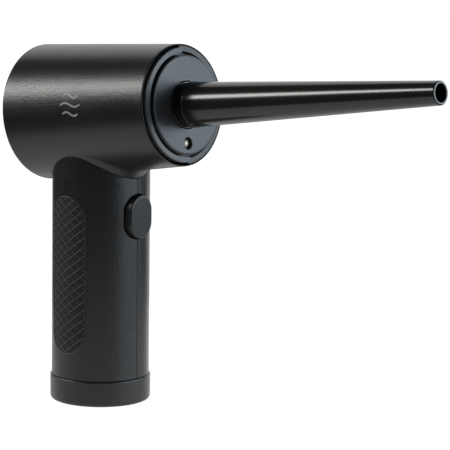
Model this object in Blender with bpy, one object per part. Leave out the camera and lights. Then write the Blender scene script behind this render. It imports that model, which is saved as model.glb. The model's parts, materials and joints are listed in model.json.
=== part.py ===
"""Cordless electric air duster: a tapered fan drum on a round upright handle, with a long thin nozzle.

The origin is the centre of the base, +X is forward, the way the nozzle blows, and +Z runs up the handle.
The drum and all that is in it share an axis that crosses the handle and climbs a little towards the front.
"""

import math

import bmesh
import bpy
from mathutils import Matrix

# Handle
HANDLE_RADIUS = 0.0215
HANDLE_INNER_RADIUS = 0.0193
CAP_RADIUS = 0.0222
CAP_TOP = 0.0114
CAP_WALL = 0.0024
CAP_FLOOR = 0.0032
BASE_ROUND = 0.0018
FOOT_RADIUS = 0.0152
FOOT_THICKNESS = 0.0014
GAP = 0.0003

# Drum
DRUM_HEIGHT = 0.1289
DRUM_TILT = math.radians(7.0)
DRUM_REAR = -0.03195
DRUM_FRONT = 0.04705
DRUM_REAR_RADIUS = 0.03
DRUM_FRONT_RADIUS = 0.0262
DRUM_WALL = 0.0022
NECK_DROP_FRONT = 0.0032
NECK_DROP_REAR = 0.0008
NECK_FLARE = 0.0045
NECK_HOLLOW = 0.35
NECK_BEND = 0.6
SPIGOT_RADIUS = 0.0189
SPIGOT_BOTTOM = 0.0952
WIRE_PASSAGE_RADIUS = 0.0155

# Front face
DISC_RADIUS = 0.0212
DISC_FACE = 0.0498
TRIM_INNER_RADIUS = 0.0222
TRIM_OUTER_RADIUS = 0.0246
TRIM_OVERRUN = 0.0008
TRIM_FACE = 0.0484
BAND_FACE = 0.0468
LAMP_DROP = 0.0163
LAMP_SIDE = -0.0016
LAMP_RADIUS = 0.0026

# Nozzle
COLLAR_RADIUS = 0.01
COLLAR_FACE = 0.0502
SOCKET_BORE = 0.0086
SPIGOT_OUTER = 0.0083
NOZZLE_TAIL = 0.0392
NOZZLE_WAIST_RADIUS = 0.0095
RIDGE_START = 0.0537
RIDGE_END = 0.0549
RIDGE_RADIUS = 0.0099
BODY_RADIUS = 0.0096
TIP_STATION = 0.1824
TIP_RADIUS = 0.00497
TIP_BORE_RADIUS = 0.0038

# Button
BUTTON_WIDTH = 0.0137
BUTTON_HEIGHT = 0.0188
BUTTON_FACE = 0.0240
BUTTON_MIDDLE = 0.0837
BUTTON_MARGIN = 0.0007
BUTTON_FLANGE = 0.0014
BUTTON_TRAVEL = 0.0015

# Grip pads and status light
PAD_TURN = math.radians(92.5)
PAD_HALF_TURN = math.radians(27.0)
PAD_BOTTOM = 0.0228
PAD_TOP = 0.0925
PAD_DEPTH = 0.0012
PAD_PROUD = 0.0003
LIGHT_HEIGHT = 0.0977

# Fan
MOTOR_CASE_RADIUS = 0.017
MOTOR_CASE_BORE = 0.0158
MOTOR_RADIUS = 0.0085
SHAFT_RADIUS = 0.0015
BLADE_COUNT = 9
VANE_COUNT = 7
BLADE_THICKNESS = 0.0009

# Power
CELL_RADIUS = 0.0091
CELL_LENGTH = 0.0652
CELL_BOTTOM = 0.0142
CELL_SIDE = 0.0094
CELL_BACK = -0.0016

COLOURS = {
    "charcoal": ((0.035, 0.036, 0.04, 1.0), 0.5, 0.0),
    "graphite": ((0.1, 0.11, 0.125, 1.0), 0.4, 0.0),
    "gloss": ((0.012, 0.012, 0.014, 1.0), 0.15, 0.0),
    "rubber": ((0.02, 0.02, 0.022, 1.0), 0.75, 0.0),
    "metal": ((0.6, 0.6, 0.62, 1.0), 0.35, 1.0),
    "copper": ((0.55, 0.26, 0.12, 1.0), 0.4, 1.0),
    "board": ((0.02, 0.12, 0.05, 1.0), 0.5, 0.0),
    "lens": ((0.95, 0.85, 0.55, 1.0), 0.15, 0.0),
    "cell": ((0.05, 0.3, 0.55, 1.0), 0.4, 0.0),
}

DRUM_FRAME = Matrix.Translation((0.0, 0.0, DRUM_HEIGHT)) @ Matrix.Rotation(-DRUM_TILT, 4, "Y")


def clear_scene():
    """Take away whatever the file starts with."""
    for item in list(bpy.data.objects):
        bpy.data.objects.remove(item)


def material(name):
    """A material of one finish, made once."""
    found = bpy.data.materials.get(name)
    if found:
        return found
    colour, roughness, metallic = COLOURS[name]
    found = bpy.data.materials.new(name)
    found.use_nodes = True
    shader = found.node_tree.nodes["Principled BSDF"]
    shader.inputs["Base Color"].default_value = colour
    shader.inputs["Roughness"].default_value = roughness
    shader.inputs["Metallic"].default_value = metallic
    return found


def piece(name, mesh, finish, frame=None):
    """A named object holding the mesh, in the frame it belongs to."""
    made = bpy.data.objects.new(name, mesh)
    bpy.context.scene.collection.objects.link(made)
    if frame:
        made.matrix_world = frame
    mesh.materials.clear()
    mesh.materials.append(material(finish))
    return made


def mesh_of_loops(name, loops, ringed):
    """A closed mesh through loops of equal count, either capped at its ends or joined in a ring."""
    body = bmesh.new()
    rows = [[body.verts.new(point) for point in loop] for loop in loops]
    count = len(rows[0])
    last = len(rows) if ringed else len(rows) - 1
    for i in range(last):
        here = rows[i]
        there = rows[(i + 1) % len(rows)]
        for j in range(count):
            k = (j + 1) % count
            body.faces.new((here[j], here[k], there[k], there[j]))
    if not ringed:
        body.faces.new(rows[0])
        body.faces.new(list(reversed(rows[-1])))
    bmesh.ops.recalc_face_normals(body, faces=body.faces)
    mesh = bpy.data.meshes.new(name)
    body.to_mesh(mesh)
    body.free()
    mesh.shade_smooth()
    mesh.set_sharp_from_angle(angle=math.radians(35.0))
    return mesh


def circle_x(station, radius, segments):
    """A circle of points round the X axis."""
    turns = [2 * math.pi * i / segments for i in range(segments)]
    return [(station, radius * math.cos(t), radius * math.sin(t)) for t in turns]


def circle_z(height, radius, segments, centre=(0.0, 0.0)):
    """A circle of points round an upright axis."""
    turns = [2 * math.pi * i / segments for i in range(segments)]
    x, y = centre
    return [(x + radius * math.cos(t), y + radius * math.sin(t), height) for t in turns]


def lathe_x(name, profile, segments, ringed=True):
    """Turn a profile of (station, radius) round the X axis."""
    return mesh_of_loops(name, [circle_x(s, r, segments) for s, r in profile], ringed)


def lathe_z(name, profile, segments, ringed=True, centre=(0.0, 0.0)):
    """Turn a profile of (height, radius) round an upright axis."""
    loops = [circle_z(h, r, segments, centre) for h, r in profile]
    return mesh_of_loops(name, loops, ringed)


def tube_profile(start, end, inner, outer):
    """The closed profile of a plain tube."""
    return [(start, inner), (start, outer), (end, outer), (end, inner)]


def box_mesh(name, low, high):
    """An upright box between two corners."""
    corners = [(low[0], low[1]), (high[0], low[1]), (high[0], high[1]), (low[0], high[1])]
    loops = [[(x, y, z) for x, y in corners] for z in (low[2], high[2])]
    return mesh_of_loops(name, loops, False)


def stadium(width, height, arc_steps, middle):
    """A round-ended outline in the YZ plane, taller than it is wide."""
    radius = width / 2
    straight = height / 2 - radius
    points = []
    for end, start in ((1, 0.0), (-1, math.pi)):
        for i in range(arc_steps + 1):
            t = start + math.pi * i / arc_steps
            points.append((radius * math.cos(t), middle + end * straight + radius * math.sin(t)))
    return points


def stadium_body(name, layers, middle, arc_steps=8):
    """A round-ended body through layers of (x, width, height)."""
    loops = []
    for x, width, height in layers:
        loops.append([(x, y, z) for y, z in stadium(width, height, arc_steps, middle)])
    return mesh_of_loops(name, loops, False)


def cut(target, mesh, operation="DIFFERENCE", frame=None):
    """Work a hidden tool body into the target."""
    tool = piece(mesh.name, mesh, "charcoal", frame)
    tool.hide_render = True
    tool.display_type = "WIRE"
    work = target.modifiers.new(mesh.name, "BOOLEAN")
    work.operation = operation
    work.solver = "EXACT"
    work.object = tool


def drum_radius(station):
    """The drum's outer radius, which narrows evenly to the front."""
    share = (station - DRUM_REAR) / (DRUM_FRONT - DRUM_REAR)
    return DRUM_REAR_RADIUS + share * (DRUM_FRONT_RADIUS - DRUM_REAR_RADIUS)


def drum_underside(x, y):
    """The height of the drum's lower surface over a point of the base."""
    lean = math.cos(DRUM_TILT)
    rise = math.sin(DRUM_TILT)
    height = DRUM_HEIGHT - DRUM_REAR_RADIUS
    for _ in range(24):
        station = x * lean + (height - DRUM_HEIGHT) * rise
        drop = math.sqrt(drum_radius(station) ** 2 - y * y)
        height = DRUM_HEIGHT + (x * rise - drop) / lean
    return height


def neck_size(turn):
    """How far the neck's fillet reaches down the handle and out along the drum."""
    facing = math.cos(turn)
    share = abs(facing) ** 1.5
    if facing > 0:
        return 0.0001 + NECK_DROP_FRONT * share, 0.0001 + NECK_FLARE * share
    return 0.0001 + NECK_DROP_REAR * share, 0.0001 + NECK_DROP_REAR * share


def neck_edge(turn):
    """The height at which the handle meets the neck."""
    under = drum_underside(HANDLE_RADIUS * math.cos(turn), HANDLE_RADIUS * math.sin(turn))
    return under - neck_size(turn)[0]


def neck_mesh():
    """The neck: a round collar whose skin sweeps out into the drum."""
    steps = 48
    loops = []
    for i in range(steps):
        turn = 2 * math.pi * i / steps
        across = math.cos(turn)
        along = math.sin(turn)
        flare = HANDLE_RADIUS + neck_size(turn)[1]
        low = neck_edge(turn)
        high = drum_underside(flare * across, flare * along)
        waist = HANDLE_RADIUS + NECK_HOLLOW * (flare - HANDLE_RADIUS)
        bend = low + NECK_BEND * (high - low)
        rows = [(SPIGOT_RADIUS - 0.002, low), (HANDLE_RADIUS, low)]
        for step in (0.33, 0.66):
            out = (1 - step) ** 2 * HANDLE_RADIUS + 2 * step * (1 - step) * waist + step**2 * flare
            up = (1 - step) ** 2 * low + 2 * step * (1 - step) * bend + step**2 * high
            rows.append((out, up))
        rows.append((flare, high + 0.00008))
        rows.append((SPIGOT_RADIUS - 0.002, high + 0.0045))
        loops.append([(r * across, r * along, z) for r, z in rows])
    return mesh_of_loops("neck_collar", loops, True)


def make_drum_shell():
    """The fan drum's shell, with the neck and the spigot that drops into the handle."""
    front = DRUM_FRONT
    profile = [
        (DRUM_REAR, drum_radius(DRUM_REAR) - 0.0012),
        (DRUM_REAR + 0.0004, drum_radius(DRUM_REAR) - 0.0004),
        (DRUM_REAR + 0.0012, drum_radius(DRUM_REAR + 0.0012)),
        (front - 0.0005, drum_radius(front - 0.0005)),
        (front, drum_radius(front) - 0.0004),
    ]
    shell = piece("drum_shell", lathe_x("drum_shell", profile, 64, False), "charcoal", DRUM_FRAME)
    cut(shell, neck_mesh(), "UNION")
    tube = lathe_z("neck_spigot", tube_profile(SPIGOT_BOTTOM, 0.1125, 0.0165, SPIGOT_RADIUS), 32)
    cut(shell, tube, "UNION")
    hollow = [
        (DRUM_REAR - 0.002, drum_radius(DRUM_REAR) - DRUM_WALL),
        (0.0395, drum_radius(0.0395) - DRUM_WALL),
        (0.0395, 0.0249),
        (DRUM_FRONT + 0.002, 0.0249),
    ]
    cut(shell, lathe_x("drum_hollow", hollow, 64, False), frame=DRUM_FRAME)
    passage = [(0.09, WIRE_PASSAGE_RADIUS), (0.116, WIRE_PASSAGE_RADIUS)]
    cut(shell, lathe_z("wire_passage", passage, 28, False))


def half_shell_mesh(name, side):
    """Half of the handle's tube, its top edge following the neck."""
    steps = 36
    start = math.asin(0.00006 / HANDLE_RADIUS)
    loops = []
    for i in range(steps + 1):
        turn = side * (start + (math.pi - 2 * start) * i / steps)
        top = neck_edge(turn) - GAP
        inside = drum_underside(HANDLE_INNER_RADIUS * math.cos(turn), HANDLE_INNER_RADIUS * math.sin(turn))
        rows = [
            (HANDLE_INNER_RADIUS, CAP_TOP + 0.0002),
            (HANDLE_RADIUS, CAP_TOP + 0.0002),
            (HANDLE_RADIUS, top),
            (HANDLE_INNER_RADIUS, min(top, inside - GAP)),
        ]
        loops.append([(r * math.cos(turn), r * math.sin(turn), z) for r, z in rows])
    return mesh_of_loops(name, loops, False)


def pad_outline(margin):
    """The grip pad's outline as (turn, height), a tall round-ended shape on the handle's side."""
    half = PAD_HALF_TURN * HANDLE_RADIUS + margin
    middle = (PAD_BOTTOM + PAD_TOP) / 2
    outline = stadium(2 * half, PAD_TOP - PAD_BOTTOM + 2 * margin, 10, middle)
    return [(PAD_TURN + across / HANDLE_RADIUS, height) for across, height in outline]


def wrapped_plate(name, outline, inner, outer, side, columns=10):
    """A plate between two radii, bent round the handle, filled column by column inside its outline."""
    turns = [t for t, _ in outline]
    low, high = min(turns), max(turns)
    half = (high - low) / 2
    middle_turn = (high + low) / 2
    heights = [h for _, h in outline]
    centre = (min(heights) + max(heights)) / 2
    radius = half * HANDLE_RADIUS
    straight = (max(heights) - min(heights)) / 2 - radius
    loops = []
    for i in range(columns + 1):
        share = -math.cos(math.pi * i / columns)
        turn = side * (middle_turn + share * half * 0.9995)
        arc = straight + radius * math.sqrt(max(0.0, 1 - (share * 0.9995) ** 2))
        rows = [(inner, centre - arc), (outer, centre - arc), (outer, centre + arc), (inner, centre + arc)]
        loops.append([(r * math.cos(turn), r * math.sin(turn), z) for r, z in rows])
    return mesh_of_loops(name, loops, False)


def make_handle_half(name, side):
    """One half of the handle, cut away for the grip pad, the button and the status light."""
    half = piece(name, half_shell_mesh(name, side), "charcoal")
    recess = wrapped_plate(
        name + "_recess",
        pad_outline(0.0002),
        HANDLE_RADIUS - PAD_DEPTH,
        HANDLE_RADIUS + 0.002,
        side,
        18,
    )
    cut(half, recess)
    layers = [
        (0.012, BUTTON_WIDTH + 2 * BUTTON_MARGIN, BUTTON_HEIGHT + 2 * BUTTON_MARGIN),
        (0.026, BUTTON_WIDTH + 2 * BUTTON_MARGIN, BUTTON_HEIGHT + 2 * BUTTON_MARGIN),
    ]
    cut(half, stadium_body(name + "_button_hole", layers, BUTTON_MIDDLE))
    if side < 0:
        cut(half, light_rod("light_hole", 0.0008, 0.0185, 0.023))


def light_rod(name, radius, inner, outer):
    """A short rod that points out through the side of the handle above the grip pad."""
    rod = lathe_x(name, [(inner, radius), (outer, radius)], 16, False)
    rod.transform(Matrix.Translation((0, 0, LIGHT_HEIGHT)) @ Matrix.Rotation(-PAD_TURN, 4, "Z"))
    return rod


def make_grip_pad(name, side):
    """A rubber pad with a raised border that lies in the recess of its half."""
    inner = HANDLE_RADIUS - PAD_DEPTH + 0.0001
    outer = HANDLE_RADIUS + PAD_PROUD
    piece(name, wrapped_plate(name, pad_outline(0.0), inner, outer, side, 18), "rubber")


def make_base_cap():
    """The cap that closes the handle and stands on the bench, with a charging slot at its back."""
    profile = [
        (0.0, 0.0154),
        (0.0, CAP_RADIUS - BASE_ROUND),
        (BASE_ROUND * 0.3, CAP_RADIUS - BASE_ROUND * 0.3),
        (BASE_ROUND, CAP_RADIUS),
        (CAP_TOP - 0.0006, CAP_RADIUS),
        (CAP_TOP, CAP_RADIUS - 0.0006),
        (CAP_TOP, CAP_RADIUS - CAP_WALL),
        (CAP_FLOOR, CAP_RADIUS - CAP_WALL),
        (CAP_FLOOR, 0.0128),
        (FOOT_THICKNESS + 0.0002, 0.0128),
        (FOOT_THICKNESS + 0.0002, 0.0154),
    ]
    cap = piece("base_cap", lathe_z("base_cap", profile, 48), "charcoal")
    slot = stadium_body("charge_slot", [(0.018, 0.0036, 0.0094), (0.024, 0.0036, 0.0094)], 0.0)
    slot.transform(Matrix.Rotation(math.pi / 2, 4, "X"))
    slot.transform(Matrix.Translation((0, 0, 0.0066)) @ Matrix.Rotation(math.pi, 4, "Z"))
    cut(cap, slot)


def make_foot_pad():
    """The rubber foot let into the cap's underside."""
    profile = [(0.0, FOOT_RADIUS - 0.0003), (0.0003, FOOT_RADIUS), (FOOT_THICKNESS, FOOT_RADIUS)]
    piece("foot_pad", lathe_z("foot_pad", profile, 32, False), "rubber")


def make_charge_socket():
    """The metal shell of the charging socket behind its slot."""
    layers = [(0.0134, 0.0032, 0.009), (0.0212, 0.0032, 0.009)]
    socket = stadium_body("charge_socket", layers, 0.0)
    to_rear = Matrix.Rotation(math.pi, 4, "Z")
    on_side = Matrix.Rotation(math.pi / 2, 4, "X")
    turn = Matrix.Translation((0, 0, 0.0066)) @ to_rear @ on_side
    socket.transform(turn)
    shell = piece("charge_socket", socket, "metal")
    mouth = stadium_body("charge_mouth", [(0.0142, 0.0024, 0.0082), (0.022, 0.0024, 0.0082)], 0.0)
    mouth.transform(turn)
    cut(shell, mouth)
    tongue = box_mesh("charge_tongue", (-0.0203, -0.003, 0.0063), (-0.0141, 0.003, 0.0069))
    cut(shell, tongue, "UNION")


def make_charge_board():
    """The small board across the floor of the cap that carries the charging socket."""
    low = (-0.0165, -0.0085, 0.0036)
    high = (0.002, 0.0085, 0.0047)
    piece("charge_board", box_mesh("charge_board", low, high), "board")


def make_front_plate():
    """The disc across the drum's mouth, stepped back at its edge, with holes for the collar and the lamp."""
    hole = COLLAR_RADIUS + GAP
    profile = [
        (0.0464, hole),
        (DISC_FACE, hole),
        (DISC_FACE, DISC_RADIUS - 0.0003),
        (DISC_FACE - 0.0003, DISC_RADIUS),
        (0.0444, DISC_RADIUS),
        (0.0444, 0.0246),
        (0.0428, 0.0246),
        (0.0428, 0.0196),
        (0.0464, 0.0196),
    ]
    plate = piece("front_plate", lathe_x("front_plate", profile, 64), "graphite", DRUM_FRAME)
    profile = [
        (0.04, LAMP_RADIUS),
        (DISC_FACE - 0.0003, LAMP_RADIUS),
        (DISC_FACE + 0.0003, LAMP_RADIUS + 0.0004),
    ]
    bore = lathe_x("lamp_hole", profile, 24, False)
    bore.transform(Matrix.Translation((0, LAMP_SIDE, -LAMP_DROP)))
    cut(plate, bore, frame=DRUM_FRAME)


def ring_arc(name, profile, side, overrun):
    """About half a ring of (station, radius), ending squarely above and below the nozzle."""
    steps = 32
    edge = -overrun / TRIM_OUTER_RADIUS
    loops = []
    for i in range(steps + 1):
        turn = edge + (math.pi - 2 * edge) * i / steps
        loops.append([(s, side * r * math.sin(turn), r * math.cos(turn)) for s, r in profile])
    return mesh_of_loops(name, loops, False)


def make_front_rings():
    """The two half rings round the disc: a raised bead on one side and a plain band on the other."""
    crown = TRIM_FACE
    bead = [
        (0.0447, TRIM_INNER_RADIUS),
        (0.0447, TRIM_OUTER_RADIUS),
        (crown - 0.0006, TRIM_OUTER_RADIUS),
        (crown - 0.0002, TRIM_OUTER_RADIUS - 0.0003),
        (crown, TRIM_OUTER_RADIUS - 0.0008),
        (crown, TRIM_INNER_RADIUS + 0.0008),
        (crown - 0.0002, TRIM_INNER_RADIUS + 0.0003),
        (crown - 0.0006, TRIM_INNER_RADIUS),
    ]
    piece("trim_bead", ring_arc("trim_bead", bead, -1, TRIM_OVERRUN), "charcoal", DRUM_FRAME)
    band = tube_profile(0.0447, BAND_FACE, TRIM_INNER_RADIUS, TRIM_OUTER_RADIUS)
    arc = ring_arc("trim_band", band, 1, -TRIM_OVERRUN - GAP)
    piece("trim_band", arc, "charcoal", DRUM_FRAME)


def make_lamp():
    """The work lamp below the nozzle: a domed lens, its chip and its board."""
    reach = LAMP_RADIUS - 0.0002
    profile = [
        (0.0434, reach),
        (0.0474, reach),
        (0.0475, reach * 0.8),
        (0.0481, reach * 0.75),
        (0.0486, reach * 0.56),
        (0.0489, reach * 0.3),
    ]
    lens = lathe_x("lamp_lens", profile, 24, False)
    lens.transform(Matrix.Translation((0, LAMP_SIDE, -LAMP_DROP)))
    piece("lamp_lens", lens, "lens", DRUM_FRAME)
    low = (0.0422, LAMP_SIDE - 0.0016, -LAMP_DROP - 0.0016)
    high = (0.0431, LAMP_SIDE + 0.0016, -LAMP_DROP + 0.0016)
    chip = box_mesh("lamp_chip", low, high)
    piece("lamp_chip", chip, "lens", DRUM_FRAME)
    board = box_mesh("lamp_board", (0.0408, -0.006, -0.0195), (0.0419, 0.006, -0.0122))
    piece("lamp_board", board, "board", DRUM_FRAME)


def make_nozzle_socket():
    """The collar that stands out of the disc and holds the nozzle's spigot."""
    profile = [
        (0.0365, SOCKET_BORE),
        (0.0365, COLLAR_RADIUS),
        (0.0444, COLLAR_RADIUS),
        (0.0444, 0.0118),
        (0.0461, 0.0118),
        (0.0461, COLLAR_RADIUS),
        (COLLAR_FACE - 0.0004, COLLAR_RADIUS),
        (COLLAR_FACE, COLLAR_RADIUS - 0.0004),
        (COLLAR_FACE, SOCKET_BORE),
    ]
    piece("nozzle_socket", lathe_x("nozzle_socket", profile, 40), "gloss", DRUM_FRAME)


def make_nozzle():
    """The long thin nozzle, hollow right through, with a ridge to pull it off by."""
    profile = [
        (NOZZLE_TAIL, SPIGOT_OUTER - 0.0004),
        (NOZZLE_TAIL + 0.0006, SPIGOT_OUTER),
        (0.0414, SPIGOT_OUTER),
        (0.0414, 0.0076),
        (0.0432, 0.0076),
        (0.0432, SPIGOT_OUTER),
        (COLLAR_FACE + 0.0003, SPIGOT_OUTER),
        (COLLAR_FACE + 0.0003, NOZZLE_WAIST_RADIUS - 0.0002),
        (COLLAR_FACE + 0.0006, NOZZLE_WAIST_RADIUS),
        (RIDGE_START - 0.0003, NOZZLE_WAIST_RADIUS),
        (RIDGE_START, RIDGE_RADIUS),
        (RIDGE_END - 0.0002, RIDGE_RADIUS),
        (RIDGE_END, BODY_RADIUS),
        (TIP_STATION - 0.0005, TIP_RADIUS),
        (TIP_STATION, TIP_RADIUS - 0.0005),
        (TIP_STATION, TIP_BORE_RADIUS + 0.0002),
        (TIP_STATION - 0.0004, TIP_BORE_RADIUS),
        (0.0585, 0.0072),
        (NOZZLE_TAIL, 0.0066),
    ]
    piece("nozzle", lathe_x("nozzle", profile, 40), "gloss", DRUM_FRAME)


def make_nozzle_seal():
    """The soft ring in the spigot's groove that grips the socket."""
    ring = []
    for i in range(8):
        turn = 2 * math.pi * (i + 0.5) / 8
        ring.append((0.0423 + 0.00045 * math.cos(turn), 0.0081 + 0.00045 * math.sin(turn)))
    piece("nozzle_seal", lathe_x("nozzle_seal", ring, 24), "rubber", DRUM_FRAME)


def make_air_funnel():
    """The funnel that gathers the fan's air into the socket."""
    wall = 0.0012
    profile = [
        (0.0146, 0.0172),
        (0.0146, 0.0184),
        (0.0195, 0.0184),
        (0.034, COLLAR_RADIUS + 0.0003 + wall),
        (0.0424, COLLAR_RADIUS + 0.0003 + wall),
        (0.0424, COLLAR_RADIUS + 0.0003),
        (0.0345, COLLAR_RADIUS + 0.0003),
        (0.0198, 0.0172),
    ]
    piece("air_funnel", lathe_x("air_funnel", profile, 28), "charcoal", DRUM_FRAME)


def blade_mesh(name, count, root, tip, start, end, sweep, thickness):
    """Blades standing out round the X axis, each swept in turn from its start to its end."""
    meshes = []
    for i in range(count):
        base = 2 * math.pi * i / count
        loops = []
        for share in (0.0, 0.25, 0.5, 0.75, 1.0):
            station = start + share * (end - start)
            turn = base + sweep * share
            row = []
            for radius, side in ((root, -1), (tip, -1), (tip, 1), (root, 1)):
                lean = turn + side * thickness / 2 / radius
                row.append((station, radius * math.cos(lean), radius * math.sin(lean)))
            loops.append(row)
        meshes.append(mesh_of_loops(name, loops, False))
    body = bmesh.new()
    for mesh in meshes:
        body.from_mesh(mesh)
    joined = bpy.data.meshes.new(name)
    body.to_mesh(joined)
    body.free()
    return joined


def make_motor():
    """The motor's round case and the drum of windings inside it, which the shaft's bore passes into."""
    bore = SHAFT_RADIUS + 0.0001
    profile = [
        (-0.0058, bore),
        (-0.0058, MOTOR_RADIUS - 0.0008),
        (-0.005, MOTOR_RADIUS),
        (0.0126, MOTOR_RADIUS),
        (0.0138, MOTOR_RADIUS - 0.0012),
        (0.0138, bore),
    ]
    piece("motor_core", lathe_x("motor_core", profile, 24), "copper", DRUM_FRAME)


def make_motor_case():
    """The duct round the motor, with still vanes that carry the core and straighten the air."""
    tube = tube_profile(-0.0195, 0.0142, MOTOR_CASE_BORE, MOTOR_CASE_RADIUS)
    case = piece("motor_case", lathe_x("motor_case", tube, 32), "metal", DRUM_FRAME)
    ring = tube_profile(0.0015, 0.0118, MOTOR_RADIUS + 0.0003, MOTOR_RADIUS + 0.0012)
    root = MOTOR_RADIUS + 0.0008
    vanes = blade_mesh("still_vanes", VANE_COUNT, root, 0.0163, 0.002, 0.0112, 0.35, BLADE_THICKNESS)
    cut(case, lathe_x("vane_ring", ring, 28), "UNION", DRUM_FRAME)
    cut(case, vanes, "UNION", DRUM_FRAME)


def make_fan_wheel():
    """The fan wheel: a cone with swept blades, fixed on the shaft."""
    bore = SHAFT_RADIUS + 0.0001
    profile = [
        (-0.0186, bore),
        (-0.0186, 0.0034),
        (-0.0172, 0.0046),
        (-0.0068, 0.0084),
        (-0.0062, 0.0084),
        (-0.0062, bore),
    ]
    wheel = piece("fan_wheel", lathe_x("fan_wheel", profile, 24), "metal", DRUM_FRAME)
    blades = blade_mesh("fan_blades", BLADE_COUNT, 0.003, 0.0151, -0.0168, -0.0074, 0.6, BLADE_THICKNESS)
    cut(wheel, blades, "UNION", DRUM_FRAME)


def make_motor_shaft():
    """The steel shaft that the fan wheel and the motor's magnet turn on."""
    profile = [
        (-0.0195, SHAFT_RADIUS - 0.0003),
        (-0.0192, SHAFT_RADIUS),
        (0.0148, SHAFT_RADIUS),
        (0.0151, 0.0012),
    ]
    piece("motor_shaft", lathe_x("motor_shaft", profile, 24, False), "metal", DRUM_FRAME)


def make_motor_mount():
    """The rubber ring that holds the motor's case in the drum and parts the air behind from the air ahead."""
    outer = drum_radius(0.0) - DRUM_WALL - GAP
    inner = MOTOR_CASE_RADIUS + 0.0002
    profile = [
        (-0.006, inner),
        (-0.006, 0.0195),
        (-0.003, 0.022),
        (-0.003, outer),
        (0.0, outer),
        (0.0, 0.0195),
        (0.003, 0.0188),
        (0.003, inner),
    ]
    piece("motor_mount", lathe_x("motor_mount", profile, 32), "rubber", DRUM_FRAME)


def slot_bars(name, rows, start, end):
    """Radial slots as one tool body: rows of (count, inner radius, outer radius, width)."""
    body = bmesh.new()
    for count, inner, outer, width in rows:
        for i in range(count):
            turn = Matrix.Rotation(2 * math.pi * i / count, 4, "X")
            bar = box_mesh(name, (start, -width / 2, inner), (end, width / 2, outer))
            bar.transform(turn)
            body.from_mesh(bar)
    joined = bpy.data.meshes.new(name)
    body.to_mesh(joined)
    body.free()
    return joined


def make_intake_cover():
    """The slotted cover over the drum's back, which pulls off so that the filter can be cleaned."""
    reach = drum_radius(DRUM_REAR) - DRUM_WALL - GAP
    profile = [
        (-0.0314, 0.002),
        (-0.0314, reach - 0.0006),
        (-0.0308, reach),
        (-0.0262, reach - 0.0003),
        (-0.0262, reach - 0.0016),
        (-0.0298, reach - 0.0016),
        (-0.0298, 0.002),
    ]
    mesh = lathe_x("intake_cover", profile, 56)
    cover = piece("intake_cover", mesh, "charcoal", DRUM_FRAME)
    rows = ((30, 0.0176, 0.0244, 0.0017), (20, 0.0092, 0.0159, 0.0017))
    cut(cover, slot_bars("intake_slots", rows, -0.033, -0.029), frame=DRUM_FRAME)
    boss = lathe_x("cover_boss", [(-0.0316, 0.0046), (-0.0312, 0.005), (-0.0299, 0.005)], 24, False)
    cut(cover, boss, "UNION", DRUM_FRAME)


def make_intake_filter():
    """The round felt filter that lies behind the cover."""
    profile = [(-0.0294, 0.0256), (-0.0274, 0.0256)]
    piece("intake_filter", lathe_x("intake_filter", profile, 32, False), "rubber", DRUM_FRAME)


def make_button():
    """The tall button on the front of the handle, with a flange that keeps it in its hole."""
    width = BUTTON_WIDTH
    height = BUTTON_HEIGHT
    layers = [
        (0.0149, width + 2 * BUTTON_FLANGE, height + 2 * BUTTON_FLANGE),
        (0.0163, width + 2 * BUTTON_FLANGE, height + 2 * BUTTON_FLANGE),
        (0.01631, width, height),
        (BUTTON_FACE - 0.0012, width, height),
        (BUTTON_FACE - 0.0005, width - 0.0004, height - 0.0004),
        (BUTTON_FACE - 0.0001, width - 0.0012, height - 0.0012),
        (BUTTON_FACE, width - 0.0022, height - 0.0022),
    ]
    stadium_mesh = stadium_body("trigger_button", layers, BUTTON_MIDDLE, 9)
    button = piece("trigger_button", stadium_mesh, "gloss")
    stem = lathe_x("button_stem", [(0.0134, 0.0017), (0.017, 0.0017)], 16, False)
    stem.transform(Matrix.Translation((0, 0, BUTTON_MIDDLE)))
    cut(button, stem, "UNION")


def make_switch():
    """The small push switch behind the button: its square case and the round plunger the button presses."""
    low = (0.0096, -0.003, BUTTON_MIDDLE - 0.003)
    high = (0.0118, 0.003, BUTTON_MIDDLE + 0.003)
    case = piece("switch_case", box_mesh("switch_case", low, high), "gloss")
    hole = lathe_x("plunger_hole", [(0.0098, 0.0015), (0.013, 0.0015)], 16, False)
    hole.transform(Matrix.Translation((0, 0, BUTTON_MIDDLE)))
    cut(case, hole)
    plunger = lathe_x("switch_plunger", [(0.0117, 0.0013), (0.0131, 0.0013)], 16, False)
    plunger.transform(Matrix.Translation((0, 0, BUTTON_MIDDLE)))
    piece("switch_plunger", plunger, "rubber")


def make_control_board():
    """The upright board behind the button that the switch sits on."""
    low = (0.0081, -0.0095, 0.0682)
    high = (0.0093, 0.0095, 0.0935)
    board = piece("control_board", box_mesh("control_board", low, high), "board")
    part = box_mesh("board_driver", (0.009, -0.0045, 0.0704), (0.0104, 0.0045, 0.0765))
    cut(board, part, "UNION")


def make_cell(name, side):
    """One round power cell standing in the handle, with its raised contact on top."""
    top = CELL_BOTTOM + CELL_LENGTH
    profile = [
        (CELL_BOTTOM, CELL_RADIUS - 0.0006),
        (CELL_BOTTOM + 0.0006, CELL_RADIUS),
        (top - 0.0019, CELL_RADIUS),
        (top - 0.0013, CELL_RADIUS - 0.0006),
        (top - 0.0013, 0.0035),
        (top, 0.0033),
    ]
    piece(name, lathe_z(name, profile, 24, False, (CELL_BACK, side * CELL_SIDE)), "cell")


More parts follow.
